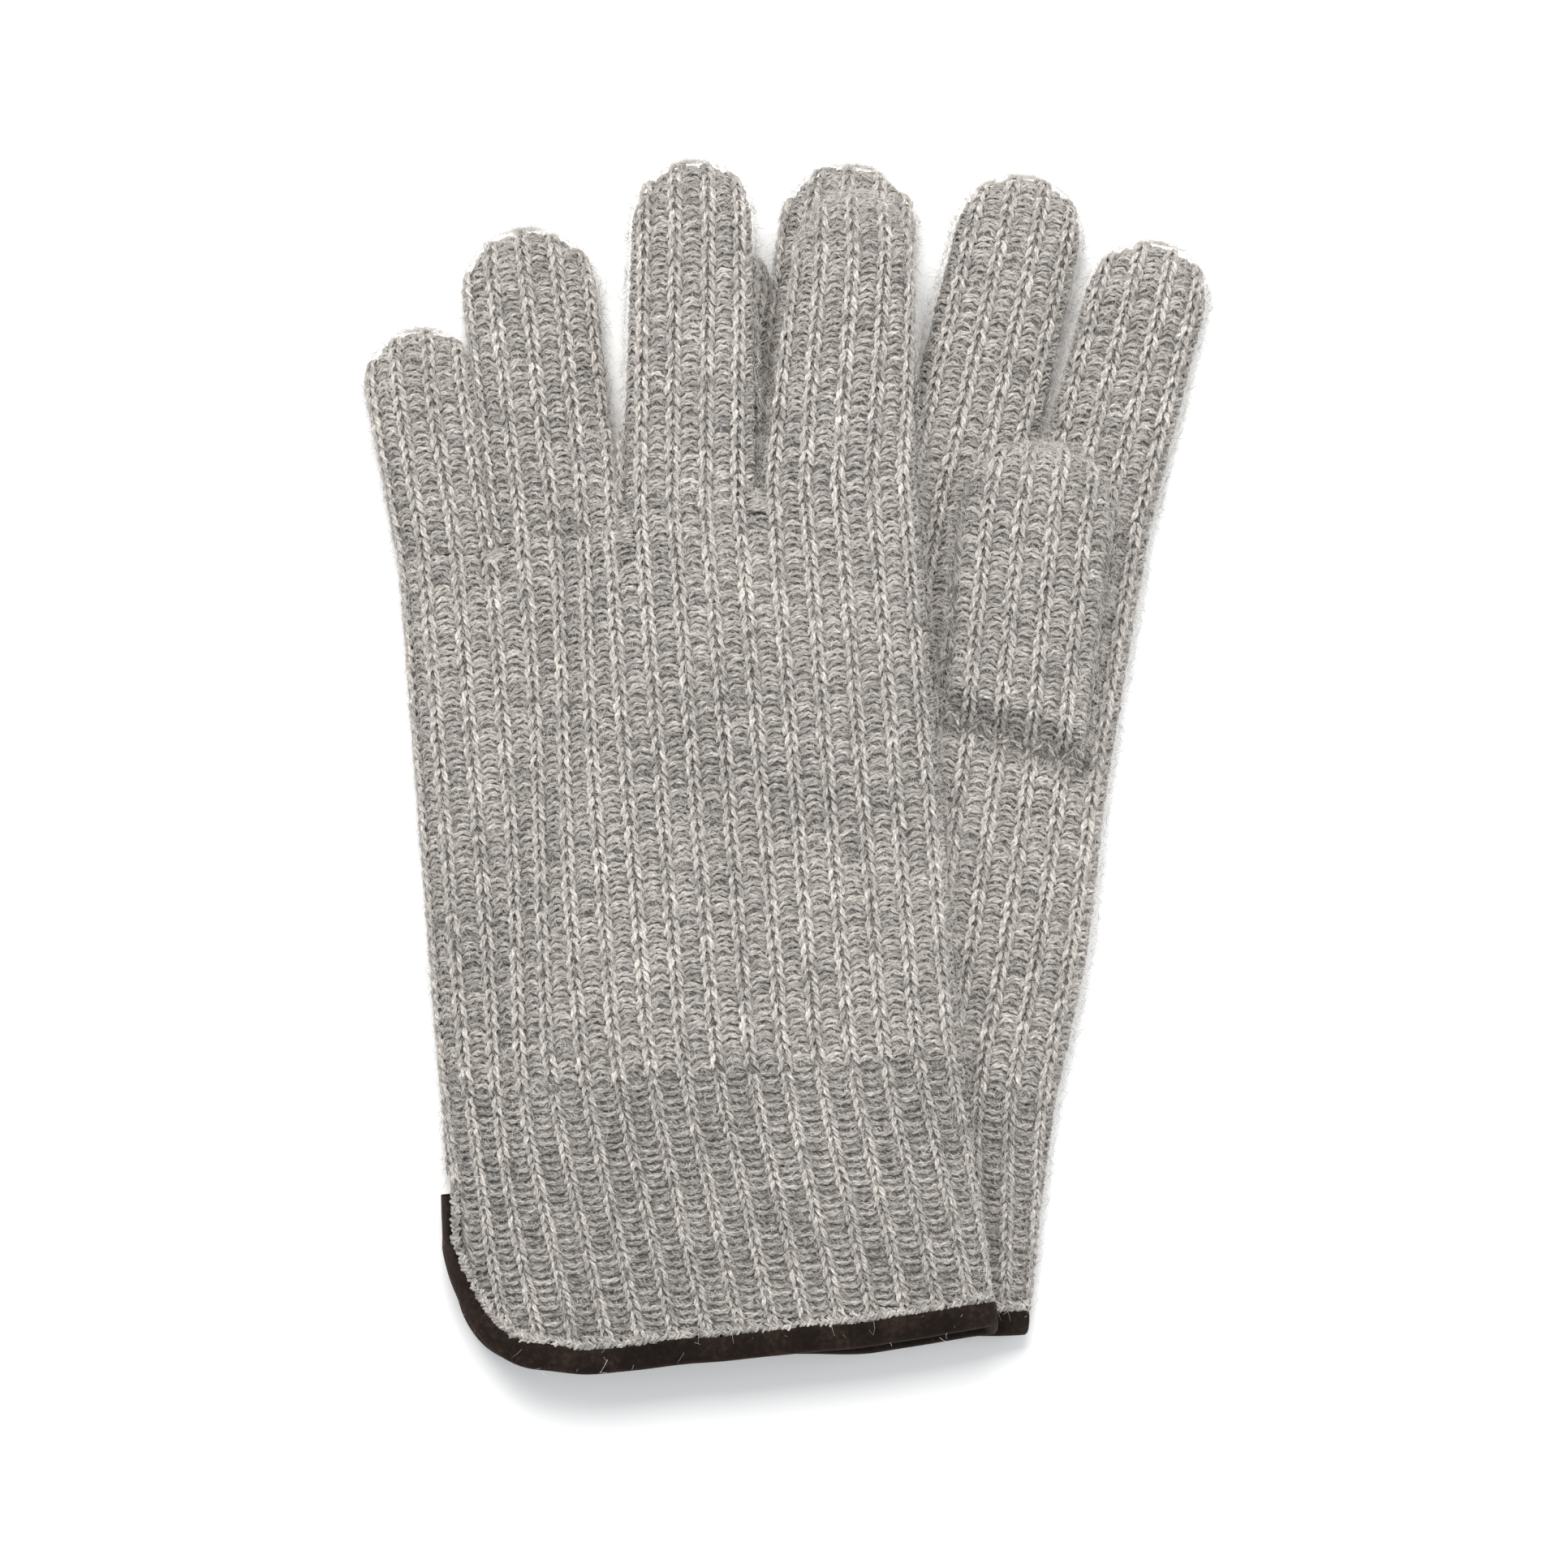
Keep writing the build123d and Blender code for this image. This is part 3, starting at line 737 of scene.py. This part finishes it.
def hem_path(side, tube, face):
    """The hem as (a, t) from the vent's top to the far side of a face."""
    line = hem_line(hem_shift(side))
    line = line[line[:, 0] < hand_sides(side, line[:, 1])[1] + 0.5]
    t = line[:, 1] - layer_drop(side, face, line[:, 0])
    a = np.empty(len(t))
    for i, (u, at) in enumerate(zip(line[:, 0], t)):
        left, right = tube.ends(face, at)
        tries = np.linspace(-left, right, 400)
        a[i] = np.interp(u, tube.uv(face, tries, np.full(400, at))[:, 0], tries)
    return a, t


def even(a, t, step):
    """A path with even steps, and its inward directions."""
    seat = np.concatenate([[0], np.cumsum(np.hypot(np.diff(a), np.diff(t)))])
    fine = np.linspace(0, seat[-1], int(seat[-1] / step))
    a, t = np.interp(fine, seat, a), np.interp(fine, seat, t)
    da, dt = np.gradient(a), np.gradient(t)
    size = np.hypot(da, dt)
    return a, t, -dt / size, da / size, fine


def ripple(s, seed):
    """A small irregular wave along an edge."""
    slow = 0.7 * np.sin(s / 9.7 + 2 * seed)
    quick = 0.5 * np.sin(s / 2.3 + 3 * seed)
    return (np.sin(s / 4.1 + seed) + slow + quick) / 2.2


# The binding's folded section: how far in from the hem, and how high over the knit
SUEDE_SECTION = (
    (4.6, 0.0), (4.5, 0.42), (3.6, 0.6), (2.2, 0.66), (1.0, 0.62), (0.1, 0.42), (-0.45, -0.15),
    (-0.65, -1.0), (-0.5, -1.8), (0.1, -2.4), (1.2, -2.7), (3.0, -2.7), (4.5, -2.6), (4.6, -2.2),
    (4.5, -1.0),
)
SUEDE_STEP = 0.55


def binding(side, tube, material):
    """The suede strip, folded over the hem of both layers and up both edges of the vent."""
    cloth = Cloth()
    rings = []
    stations = []
    for face in (1, -1):
        a, t, in_a, in_t, s = even(*hem_path(side, tube, face), SUEDE_STEP)
        ring = []
        for j, (d, h) in enumerate(SUEDE_SECTION):
            depth = d * (1.0 + 0.07 * ripple(s, 1.0 + face)) + 0.22 * ripple(s, 2.0) + 0.05
            height = SKIN + h + 0.12 * ripple(s * 1.7, j * 0.4)
            place, _ = tube.at(face, a + in_a * depth, t + in_t * depth, height)
            ring.append(place)
        rings.append(np.stack(ring, 1))
        stations.append(s)
    loop = np.concatenate([rings[0], rings[1][::-1]])
    along = np.concatenate([stations[0], stations[0][-1] + stations[1]])
    loop = np.concatenate([loop, loop[:, :1]], 1)
    stitch = np.stack(np.broadcast_arrays(along[:, None], np.linspace(0, 14, loop.shape[1])[None]), -1)
    cloth.grid(loop, stitch, 0.5)
    return cloth.make(f"{side}_suede_binding", material)


# The legs of the edge row's stitches: depth from the hem at foot and head, slide along the hem, height
EDGE_LEGS = ((4.3, 5.9, 2.0, 0.7), (4.6, 6.6, -2.0, 0.45))
EDGE_STEP = 1.25


def edge_row(side, tube, material):
    """The overcast row that joins the knit to the suede."""
    cloth = Cloth()
    for face in (1, -1):
        a, t, in_a, in_t, s = even(*hem_path(side, tube, face), EDGE_STEP)
        points = np.linspace(0, 1, 6)[None]
        for d0, d1, drift, high in EDGE_LEGS:
            depth = d0 + (d1 - d0) * points + 0.25 * RNG.normal(0, 1, (len(s), 1))
            slide = drift * (points - 0.5) + RNG.normal(0, 0.2, (len(s), 1))
            path_a = a[:, None] + in_a[:, None] * depth + in_t[:, None] * slide
            path_t = t[:, None] + in_t[:, None] * depth - in_a[:, None] * slide
            path_h = SKIN - 0.55 + high * np.sin(np.pi * points) * np.ones((len(s), 1))
            centre, out = tube.at(face, path_a, path_t, path_h)
            thick = 0.5 * RNG.uniform(0.75, 1.2, len(s))
            cloth.yarn(centre, out, thick, 5, RNG.uniform(0.0, 0.6, len(s)))
    return cloth.make(f"{side}_edge_row", material)


# ---------------------------------------------------------------- materials

def node_of(tree, kind, **values):
    """A node with its sockets and properties set."""
    node = tree.nodes.new(kind)
    for name, value in values.items():
        if name.startswith("in_"):
            node.inputs[name[3:].replace("_", " ")].default_value = value
        else:
            setattr(node, name, value)
    return node


def new_material(name):
    """An empty material with its shader."""
    material = bpy.data.materials.new(name)
    material.use_nodes = True
    tree = material.node_tree
    return material, tree, tree.nodes["Principled BSDF"]


def ramp_of(tree, fac, stops):
    """A colour ramp on a value."""
    ramp = tree.nodes.new("ShaderNodeValToRGB")
    band = ramp.color_ramp
    while len(band.elements) < len(stops):
        band.elements.new(0.5)
    for element, (place, colour) in zip(band.elements, stops):
        element.position = place
        element.color = (*colour, 1.0)
    tree.links.new(fac, ramp.inputs["Fac"])
    return ramp.outputs["Color"]


def maths(tree, kind, a, b):
    """A maths node on two values or sockets."""
    node = tree.nodes.new("ShaderNodeMath")
    node.operation = kind
    for socket, value in zip(node.inputs, (a, b)):
        if isinstance(value, (int, float)):
            socket.default_value = value
        else:
            tree.links.new(value, socket)
    return node.outputs[0]


def wool(name, dark, middle, light, fibre_bump):
    """Marled wool: twisted plies and single fibres along each strand, cloudy shade across them."""
    material, tree, shader = new_material(name)
    link = tree.links.new
    stitch = node_of(tree, "ShaderNodeUVMap", uv_map="Stitch")
    split = tree.nodes.new("ShaderNodeSeparateXYZ")
    link(stitch.outputs["UV"], split.inputs[0])
    along, around = split.outputs[0], split.outputs[1]
    twist = maths(tree, "ADD", around, maths(tree, "MULTIPLY", along, 0.2))
    fibres = tree.nodes.new("ShaderNodeCombineXYZ")
    link(maths(tree, "MULTIPLY", along, 0.45), fibres.inputs[0])
    link(maths(tree, "MULTIPLY", twist, 7.0), fibres.inputs[1])
    streak = node_of(tree, "ShaderNodeTexNoise", in_Scale=1.6, in_Detail=3.0, in_Roughness=0.65)
    link(fibres.outputs[0], streak.inputs["Vector"])
    ply = maths(tree, "SINE", maths(tree, "MULTIPLY", twist, 18.85), 0.0)
    spot = node_of(tree, "ShaderNodeTexCoord")
    cloud = node_of(tree, "ShaderNodeTexNoise", in_Scale=420.0, in_Detail=3.0, in_Roughness=0.6)
    link(spot.outputs["Object"], cloud.inputs["Vector"])
    drift = node_of(tree, "ShaderNodeTexNoise", in_Scale=45.0, in_Detail=2.0)
    link(spot.outputs["Object"], drift.inputs["Vector"])
    tone = node_of(tree, "ShaderNodeAttribute", attribute_name="tone")
    mix = maths(tree, "MULTIPLY", streak.outputs["Fac"], 1.75)
    mix = maths(tree, "ADD", mix, maths(tree, "MULTIPLY", ply, 0.04))
    mix = maths(tree, "ADD", mix, maths(tree, "MULTIPLY", tone.outputs["Fac"], 0.28))
    mix = maths(tree, "ADD", mix, maths(tree, "MULTIPLY", cloud.outputs["Fac"], 0.7))
    mix = maths(tree, "ADD", mix, maths(tree, "MULTIPLY", drift.outputs["Fac"], 0.2))
    mix = maths(tree, "SUBTRACT", mix, 0.98)
    colour = ramp_of(tree, mix, ((0.12, dark), (0.5, middle), (0.9, light)))
    link(colour, shader.inputs["Base Color"])
    rough = ramp_of(tree, streak.outputs["Fac"], ((0.3, (0.95,) * 3), (0.7, (0.78,) * 3)))
    link(rough, shader.inputs["Roughness"])
    height = maths(tree, "ADD", maths(tree, "MULTIPLY", ply, 0.35), streak.outputs["Fac"])
    bump = node_of(tree, "ShaderNodeBump", in_Strength=fibre_bump, in_Distance=0.00028)
    link(height, bump.inputs["Height"])
    link(bump.outputs["Normal"], shader.inputs["Normal"])
    shader.inputs["Specular IOR Level"].default_value = 0.18
    shader.inputs["Sheen Weight"].default_value = 0.3
    shader.inputs["Sheen Roughness"].default_value = 0.6
    shader.inputs["Sheen Tint"].default_value = (1.0, 0.97, 0.94, 1.0)
    return material


def suede():
    """Very dark brown suede: mottled nap with redder lighter patches, and lint caught in it."""
    material, tree, shader = new_material("dark_suede")
    link = tree.links.new
    spot = node_of(tree, "ShaderNodeTexCoord")
    nap = node_of(tree, "ShaderNodeTexNoise", in_Scale=900.0, in_Detail=6.0, in_Roughness=0.7)
    brushed = node_of(tree, "ShaderNodeTexNoise", in_Scale=130.0, in_Detail=4.0, in_Roughness=0.6)
    link(spot.outputs["Object"], nap.inputs["Vector"])
    link(spot.outputs["Object"], brushed.inputs["Vector"])
    mix = maths(tree, "ADD", maths(tree, "MULTIPLY", nap.outputs["Fac"], 0.6),
                maths(tree, "MULTIPLY", brushed.outputs["Fac"], 0.45))
    colour = ramp_of(tree, mix, ((0.36, (0.0045, 0.0032, 0.0028)), (0.54, (0.0105, 0.0068, 0.0052)),
                                 (0.72, (0.034, 0.021, 0.015))))
    link(colour, shader.inputs["Base Color"])
    rough = ramp_of(tree, brushed.outputs["Fac"], ((0.3, (0.98,) * 3), (0.7, (0.84,) * 3)))
    link(rough, shader.inputs["Roughness"])
    bump = node_of(tree, "ShaderNodeBump", in_Strength=0.7, in_Distance=0.00025)
    link(nap.outputs["Fac"], bump.inputs["Height"])
    link(bump.outputs["Normal"], shader.inputs["Normal"])
    shader.inputs["Specular IOR Level"].default_value = 0.1
    shader.inputs["Sheen Weight"].default_value = 0.12
    shader.inputs["Sheen Roughness"].default_value = 0.5
    shader.inputs["Sheen Tint"].default_value = (0.55, 0.4, 0.33, 1.0)
    return material


WOOL = wool("marled_wool", (0.08, 0.076, 0.072), (0.392, 0.368, 0.343), (0.81, 0.757, 0.698), 0.8)
FUZZ = wool("loose_fibres", (0.15, 0.142, 0.134), (0.45, 0.423, 0.396), (0.77, 0.723, 0.67), 0.1)
THREAD = wool("seam_thread", (0.14, 0.135, 0.13), (0.36, 0.345, 0.33), (0.6, 0.57, 0.54), 0.6)
SUEDE = suede()


# ---------------------------------------------------------------- the pieces

def bend_points(side, name):
    """Two points along a finger or the thumb, in metres, at the ends of the stretch where its cloth would
    bend.
    """
    if name == "thumb":
        first, last, u = CREASE_V - 5.0, CREASE_V + 9.0, 30.0
    elif side == "right":
        first, last, u = ROOT_V, ROOT_V + 12.0, mid_u(side, name)
    else:
        first, last, u = FINGERS[side][name][0], FINGERS[side][name][0] + 12.0, mid_u(side, name)
    return [tuple(world(side, u, v, 0.0) * MM) for v in (first, last)]


def attach(piece, side, name=None):
    """The piece rides on its glove; a piece for a finger or thumb that has its own body only has its
    transform baked in.
    """
    body = f"{side}_{name}"
    if name and body in frame["bodies"]:
        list(bend_points(side, name))
        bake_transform(piece)
    else:
        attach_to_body(piece, f"{side}_glove")
    return piece


def finger_base(side):
    """Where the hand stops, for any u."""
    shapes = FINGERS[side]
    names = ("little", "ring", "middle", "index")
    forks = [(shapes[p][2] + shapes[q][1]) / 2 for p, q in zip(names, names[1:])]

    def stop(u):
        v = np.full(np.shape(u), shapes["little"][0])
        for fork, name in zip(forks, names[1:]):
            v = np.where(u > fork, shapes[name][0], v)
        return v

    return stop


def make_hand(side, tube):
    """A hand: its back and palm as base fabric, ribs and arches."""
    stop_v = finger_base(side)
    phase = RIB_PHASE[side]
    inside = lambda u, v: (v > WRIST_V) & (v < stop_v(u) - 0.2)
    stop = lambda face, b: stop_v(b * 53.0 + 1.0) + 0.4
    start = lambda face, b: np.full(len(b), WRIST_V - 0.5)
    upper = "back" if side == "left" else "palm"
    lower = "palm" if side == "left" else "back"
    for face, label in ((1, upper), (-1, lower)):
        cloth = Cloth()
        base_cloth(cloth, tube, face, start, stop, phase, HAND_CELL)
        knit_arches(cloth, tube, face, WRIST_V, TOP_OF_HAND - 0.5, phase, inside, False)
        piece = attach(cloth.make(f"{side}_hand_{label}", WOOL), side)
        ribs = Cloth()
        knit_ribs(ribs, tube, face, WRIST_V, TOP_OF_HAND - 0.5, phase, inside, False)
        attach(ribs.make(f"{side}_hand_{label}_ribs", WOOL), side)
        if face > 0:
            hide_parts(f"{side}_hand")
    halo = fuzz(tube, WRIST_V, TOP_OF_HAND, inside, HALO, HALO_RIM)
    attach(halo.make(f"{side}_hand_fuzz", FUZZ), side)


def make_cuff(side, tube):
    """A rib cuff with its vent, edge row and suede binding."""
    phase = RIB_PHASE[side]
    line = hem_line(hem_shift(side))

    def inside_of(face):
        drop = lambda u: layer_drop(side, face, u)

        def inside(u, v):
            flat_u, flat_v = np.ravel(u), np.ravel(v)
            gap = np.full(flat_u.shape, 1e9)
            for edge_u, edge_v in line[::3]:
                gap = np.minimum(gap, np.hypot(flat_u - edge_u, flat_v - edge_v + drop(edge_u)))
            clear = (gap.reshape(np.shape(u)) > BAND + 0.2) & (v > hem_v(side, face, u))
            return clear & (v < WRIST_V)

        return inside

    def start(face, b):
        left, right = tube.ends(face, np.full(len(b), 20.0))
        u = tube.uv(face, np.where(b < 0, b * left, b * right), np.full(len(b), 20.0))[:, 0]
        return np.minimum(hem_v(side, face, u) + 1.2, WRIST_V - 4.0)

    stop = lambda face, b: np.full(len(b), WRIST_V + 0.5)
    for face, label in ((1, "upper"), (-1, "lower")):
        cloth = Cloth()
        base_cloth(cloth, tube, face, start, stop, phase, HAND_CELL)
        knit_ribs(cloth, tube, face, -3.0, WRIST_V, phase, inside_of(face), True)
        knit_arches(cloth, tube, face, -3.0, WRIST_V, phase, inside_of(face), True)
        piece = attach(cloth.make(f"{side}_cuff_{label}", WOOL), side)
        if face > 0:
            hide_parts(f"{side}_cuff")
    row = attach(edge_row(side, tube, WOOL), side)
    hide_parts(f"{side}_cuff_edge_row")
    strip = binding(side, tube, SUEDE)
    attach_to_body(strip, f"{side}_glove")
    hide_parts(f"{side}_cuff_binding")
    halo = fuzz(tube, -1.0, WRIST_V, inside_of(1), 1.0, 14.0)
    attach(halo.make(f"{side}_cuff_fuzz", FUZZ), side)
    lint_zone = lambda u, v: (v < hem_v(side, 1, u) + BAND) & (v > hem_v(side, 1, u) - 0.4)
    lint = fuzz(tube, -3.0, 14.0, lint_zone, 0.16, 0.5, 0.8)
    attach(lint.make(f"{side}_suede_lint", FUZZ), side)


def make_tube_piece(side, tube, first, last, phase, label, follow, node=None):
    """A finger, a finger's root or a thumb, all round, between two distances along it."""
    inside = lambda u, v: np.ones(np.shape(v), bool)
    cloth = Cloth()
    start = lambda face, b: np.full(len(b), first - 0.6)
    stop = lambda face, b: np.full(len(b), last)
    for face in (1, -1):
        base_cloth(cloth, tube, face, start, stop, phase, DIGIT_CELL)
    for face in (1, -1):
        knit_ribs(cloth, tube, face, first, last - 0.4, phase, inside, False)
        knit_arches(cloth, tube, face, first, last - 0.4, phase, inside, False)
    piece = attach(cloth.make(label, WOOL), side, follow)
    if node:
        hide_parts(node)
    halo = fuzz(tube, first, last, inside, HALO, HALO_RIM)
    attach(halo.make(label + "_fuzz", FUZZ), side, follow)


TRIES = 1401


def across_at(tube, u, v):
    """How far round a tube's upper face a given u lies, at v."""
    tries = np.linspace(-70.0, 70.0, TRIES)
    return np.interp(u, tube.uv(1, tries, np.full(TRIES, v))[:, 0], tries)


def matching_phase(hand, digit, v, phase):
    """The phase at which a digit's ribs run on from the hand's ribs at v."""
    middle = digit.uv(1, np.zeros(1), np.array([v]))[0, 0]
    return phase - across_at(hand, middle, v) / RIB


def make_digits(side, hand):
    """The four fingers and the thumb of a glove."""
    for name, shape in FINGERS[side].items():
        tube = finger_tube(side, name)
        last = tube.t[-1]
        node = f"{side}_{name}_finger"
        phase = matching_phase(hand, tube, shape[0], RIB_PHASE[side]) % 1.0
        if f"{side}_{name}" in frame["bodies"] and side == "right":
            make_tube_piece(side, tube, shape[0], ROOT_V, phase, f"{side}_{name}_root", None)
            make_tube_piece(side, tube, ROOT_V, last, phase, node + "_knit", name, node)
        else:
            make_tube_piece(side, tube, shape[0], last, phase, node + "_knit", name, node)
    tube = thumb_tube(side)
    node = f"{side}_thumb"
    make_tube_piece(side, tube, tube.t[0] + 1.0, tube.t[-1], 0.5, node + "_knit", "thumb", node)


def make_fork_stitches(side, hand):
    """A few strands darned across each fork between two fingers."""
    cloth = Cloth()
    names = tuple(FINGERS[side])
    count = FORK_STITCHES
    s = np.linspace(-1.0, 1.0, 7)[None]
    for near, far in zip(names, names[1:]):
        fork_u = (FINGERS[side][near][2] + FINGERS[side][far][1]) / 2
        fork_v = FINGERS[side][near][0]
        path_a = across_at(hand, fork_u, fork_v) + 2.3 * RNG.uniform(0.7, 1.1, (count, 1)) * s
        path_t = fork_v + np.linspace(-2.6, 1.4, count)[:, None] + 0.5 * RNG.normal(0, 1, (count, 1)) * s
        path_h = RIDGE + 0.5 - 0.5 * s * s + RNG.normal(0, 0.12, (count, 1))
        centre, out = hand.at(1, path_a, path_t, path_h)
        cloth.yarn(centre, out, np.full(count, YARN), 5, RNG.uniform(0.2, 0.8, count))
    piece = attach(cloth.make(f"{side}_fork_darning", WOOL), side)
    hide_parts(f"{side}_finger_forks")


def make_thumb_join(side, hand):
    """The stitches that close the palm along the foot of the thumb."""
    cloth = Cloth()
    face = 1 if side == "right" else -1
    count = JOIN_STITCHES
    u = np.linspace(17.5, 46.5, count)
    if side == "right":
        v = CREASE_V - 2.9 - FOOT_SLANT * (u - FOOT_U)
    else:
        v = np.full(count, THUMBS[side][0] - 1.0)
    middle = np.array([across_at(hand, place_u, FOOT_CREASE_V - 0.5) for place_u in u])
    s = np.linspace(-1.0, 1.0, 6)[None]
    for slant in (-0.8, 0.8):
        path_a = middle[:, None] + slant * s + RNG.normal(0, 0.15, (count, 1))
        path_t = v[:, None] + 1.15 * s + RNG.normal(0, 0.25, (count, 1))
        path_h = RIDGE - 0.1 - 0.7 * s * s + RNG.normal(0, 0.08, (count, 1))
        centre, out = hand.at(face, path_a, path_t, path_h)
        cloth.yarn(centre, out, np.full(count, YARN), 5, RNG.uniform(0.0, 0.6, count))
    piece = attach(cloth.make(f"{side}_thumb_join_stitches", WOOL), side)
    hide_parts(f"{side}_thumb_join")


def dress_inner_pieces():
    """The fingertips' seams stay as the CAD has them, in seam thread."""
    for name, node in frame["nodes"].items():
        node.data.materials.clear()
        node.data.materials.append(THREAD)


def area_light(name, place, aim, size, power, colour):
    """A soft box that faces a point."""
    data = bpy.data.lights.new(name, "AREA")
    data.shape, data.size, data.energy, data.color = "SQUARE", size, power, colour
    light = bpy.data.objects.new(name, data)
    light.location = place
    direction = np.array(aim, float) - np.array(place, float)
    light.rotation_euler = Vector(direction).to_track_quat("-Z", "Y").to_euler()
    bpy.context.scene.collection.objects.link(light)


# The camera, in metres: what it stands over, how far above the gloves, and how much it sees there
CAMERA_OVER = (-0.0005, -0.0030)
MID_HEIGHT = 0.015
CAMERA_DISTANCE = 1.75
FIELD_WIDTH = 0.3188
FLOOR_REACH = 3.0


def make_set():
    """A white floor, soft studio light from the fingertips' side, and the overhead camera."""
    low, high = CAD_BOX
    middle = (low + high) / 2
    mesh = bpy.data.meshes.new("floor")
    reach = FLOOR_REACH
    corners = [(-reach, -reach, 0), (reach, -reach, 0), (reach, reach, 0), (-reach, reach, 0)]
    mesh.from_pydata(corners, [], [(0, 1, 2, 3)])
    floor = bpy.data.objects.new("floor", mesh)
    bpy.context.scene.collection.objects.link(floor)
    material, _, shader = new_material("white_floor")
    shader.inputs["Base Color"].default_value = (0.93, 0.93, 0.93, 1.0)
    shader.inputs["Roughness"].default_value = 0.9
    shader.inputs["Specular IOR Level"].default_value = 0.0
    mesh.materials.append(material)
    sky = bpy.data.worlds.new("studio")
    sky.use_nodes = True
    sky.node_tree.nodes["Background"].inputs["Color"].default_value = (0.95, 0.975, 1.0, 1.0)
    sky.node_tree.nodes["Background"].inputs["Strength"].default_value = 0.65
    bpy.context.scene.world = sky
    area_light("key", (-0.2, 0.9, 1.4), middle, 1.0, 34.0, (1.0, 0.985, 0.96))
    area_light("fill", (0.9, -0.3, 1.1), middle, 1.2, 7.0, (1.0, 0.99, 0.98))
    data = bpy.data.cameras.new("overhead")
    data.lens = data.sensor_width * CAMERA_DISTANCE / FIELD_WIDTH
    data.clip_start, data.clip_end = 0.05, 10.0
    camera = bpy.data.objects.new("overhead", data)
    camera.location = (*CAMERA_OVER, MID_HEIGHT + CAMERA_DISTANCE)
    bpy.context.scene.collection.objects.link(camera)
    bpy.context.scene.camera = camera
    bpy.context.scene.view_settings.view_transform = "Standard"
    bpy.context.scene.view_settings.look = "None"


make_set()
dress_inner_pieces()
for glove in ("left", "right"):
    whole = hand_tube(glove)
    make_hand(glove, whole)
    make_cuff(glove, whole)
    make_digits(glove, whole)
    make_fork_stitches(glove, whole)
    make_thumb_join(glove, whole)
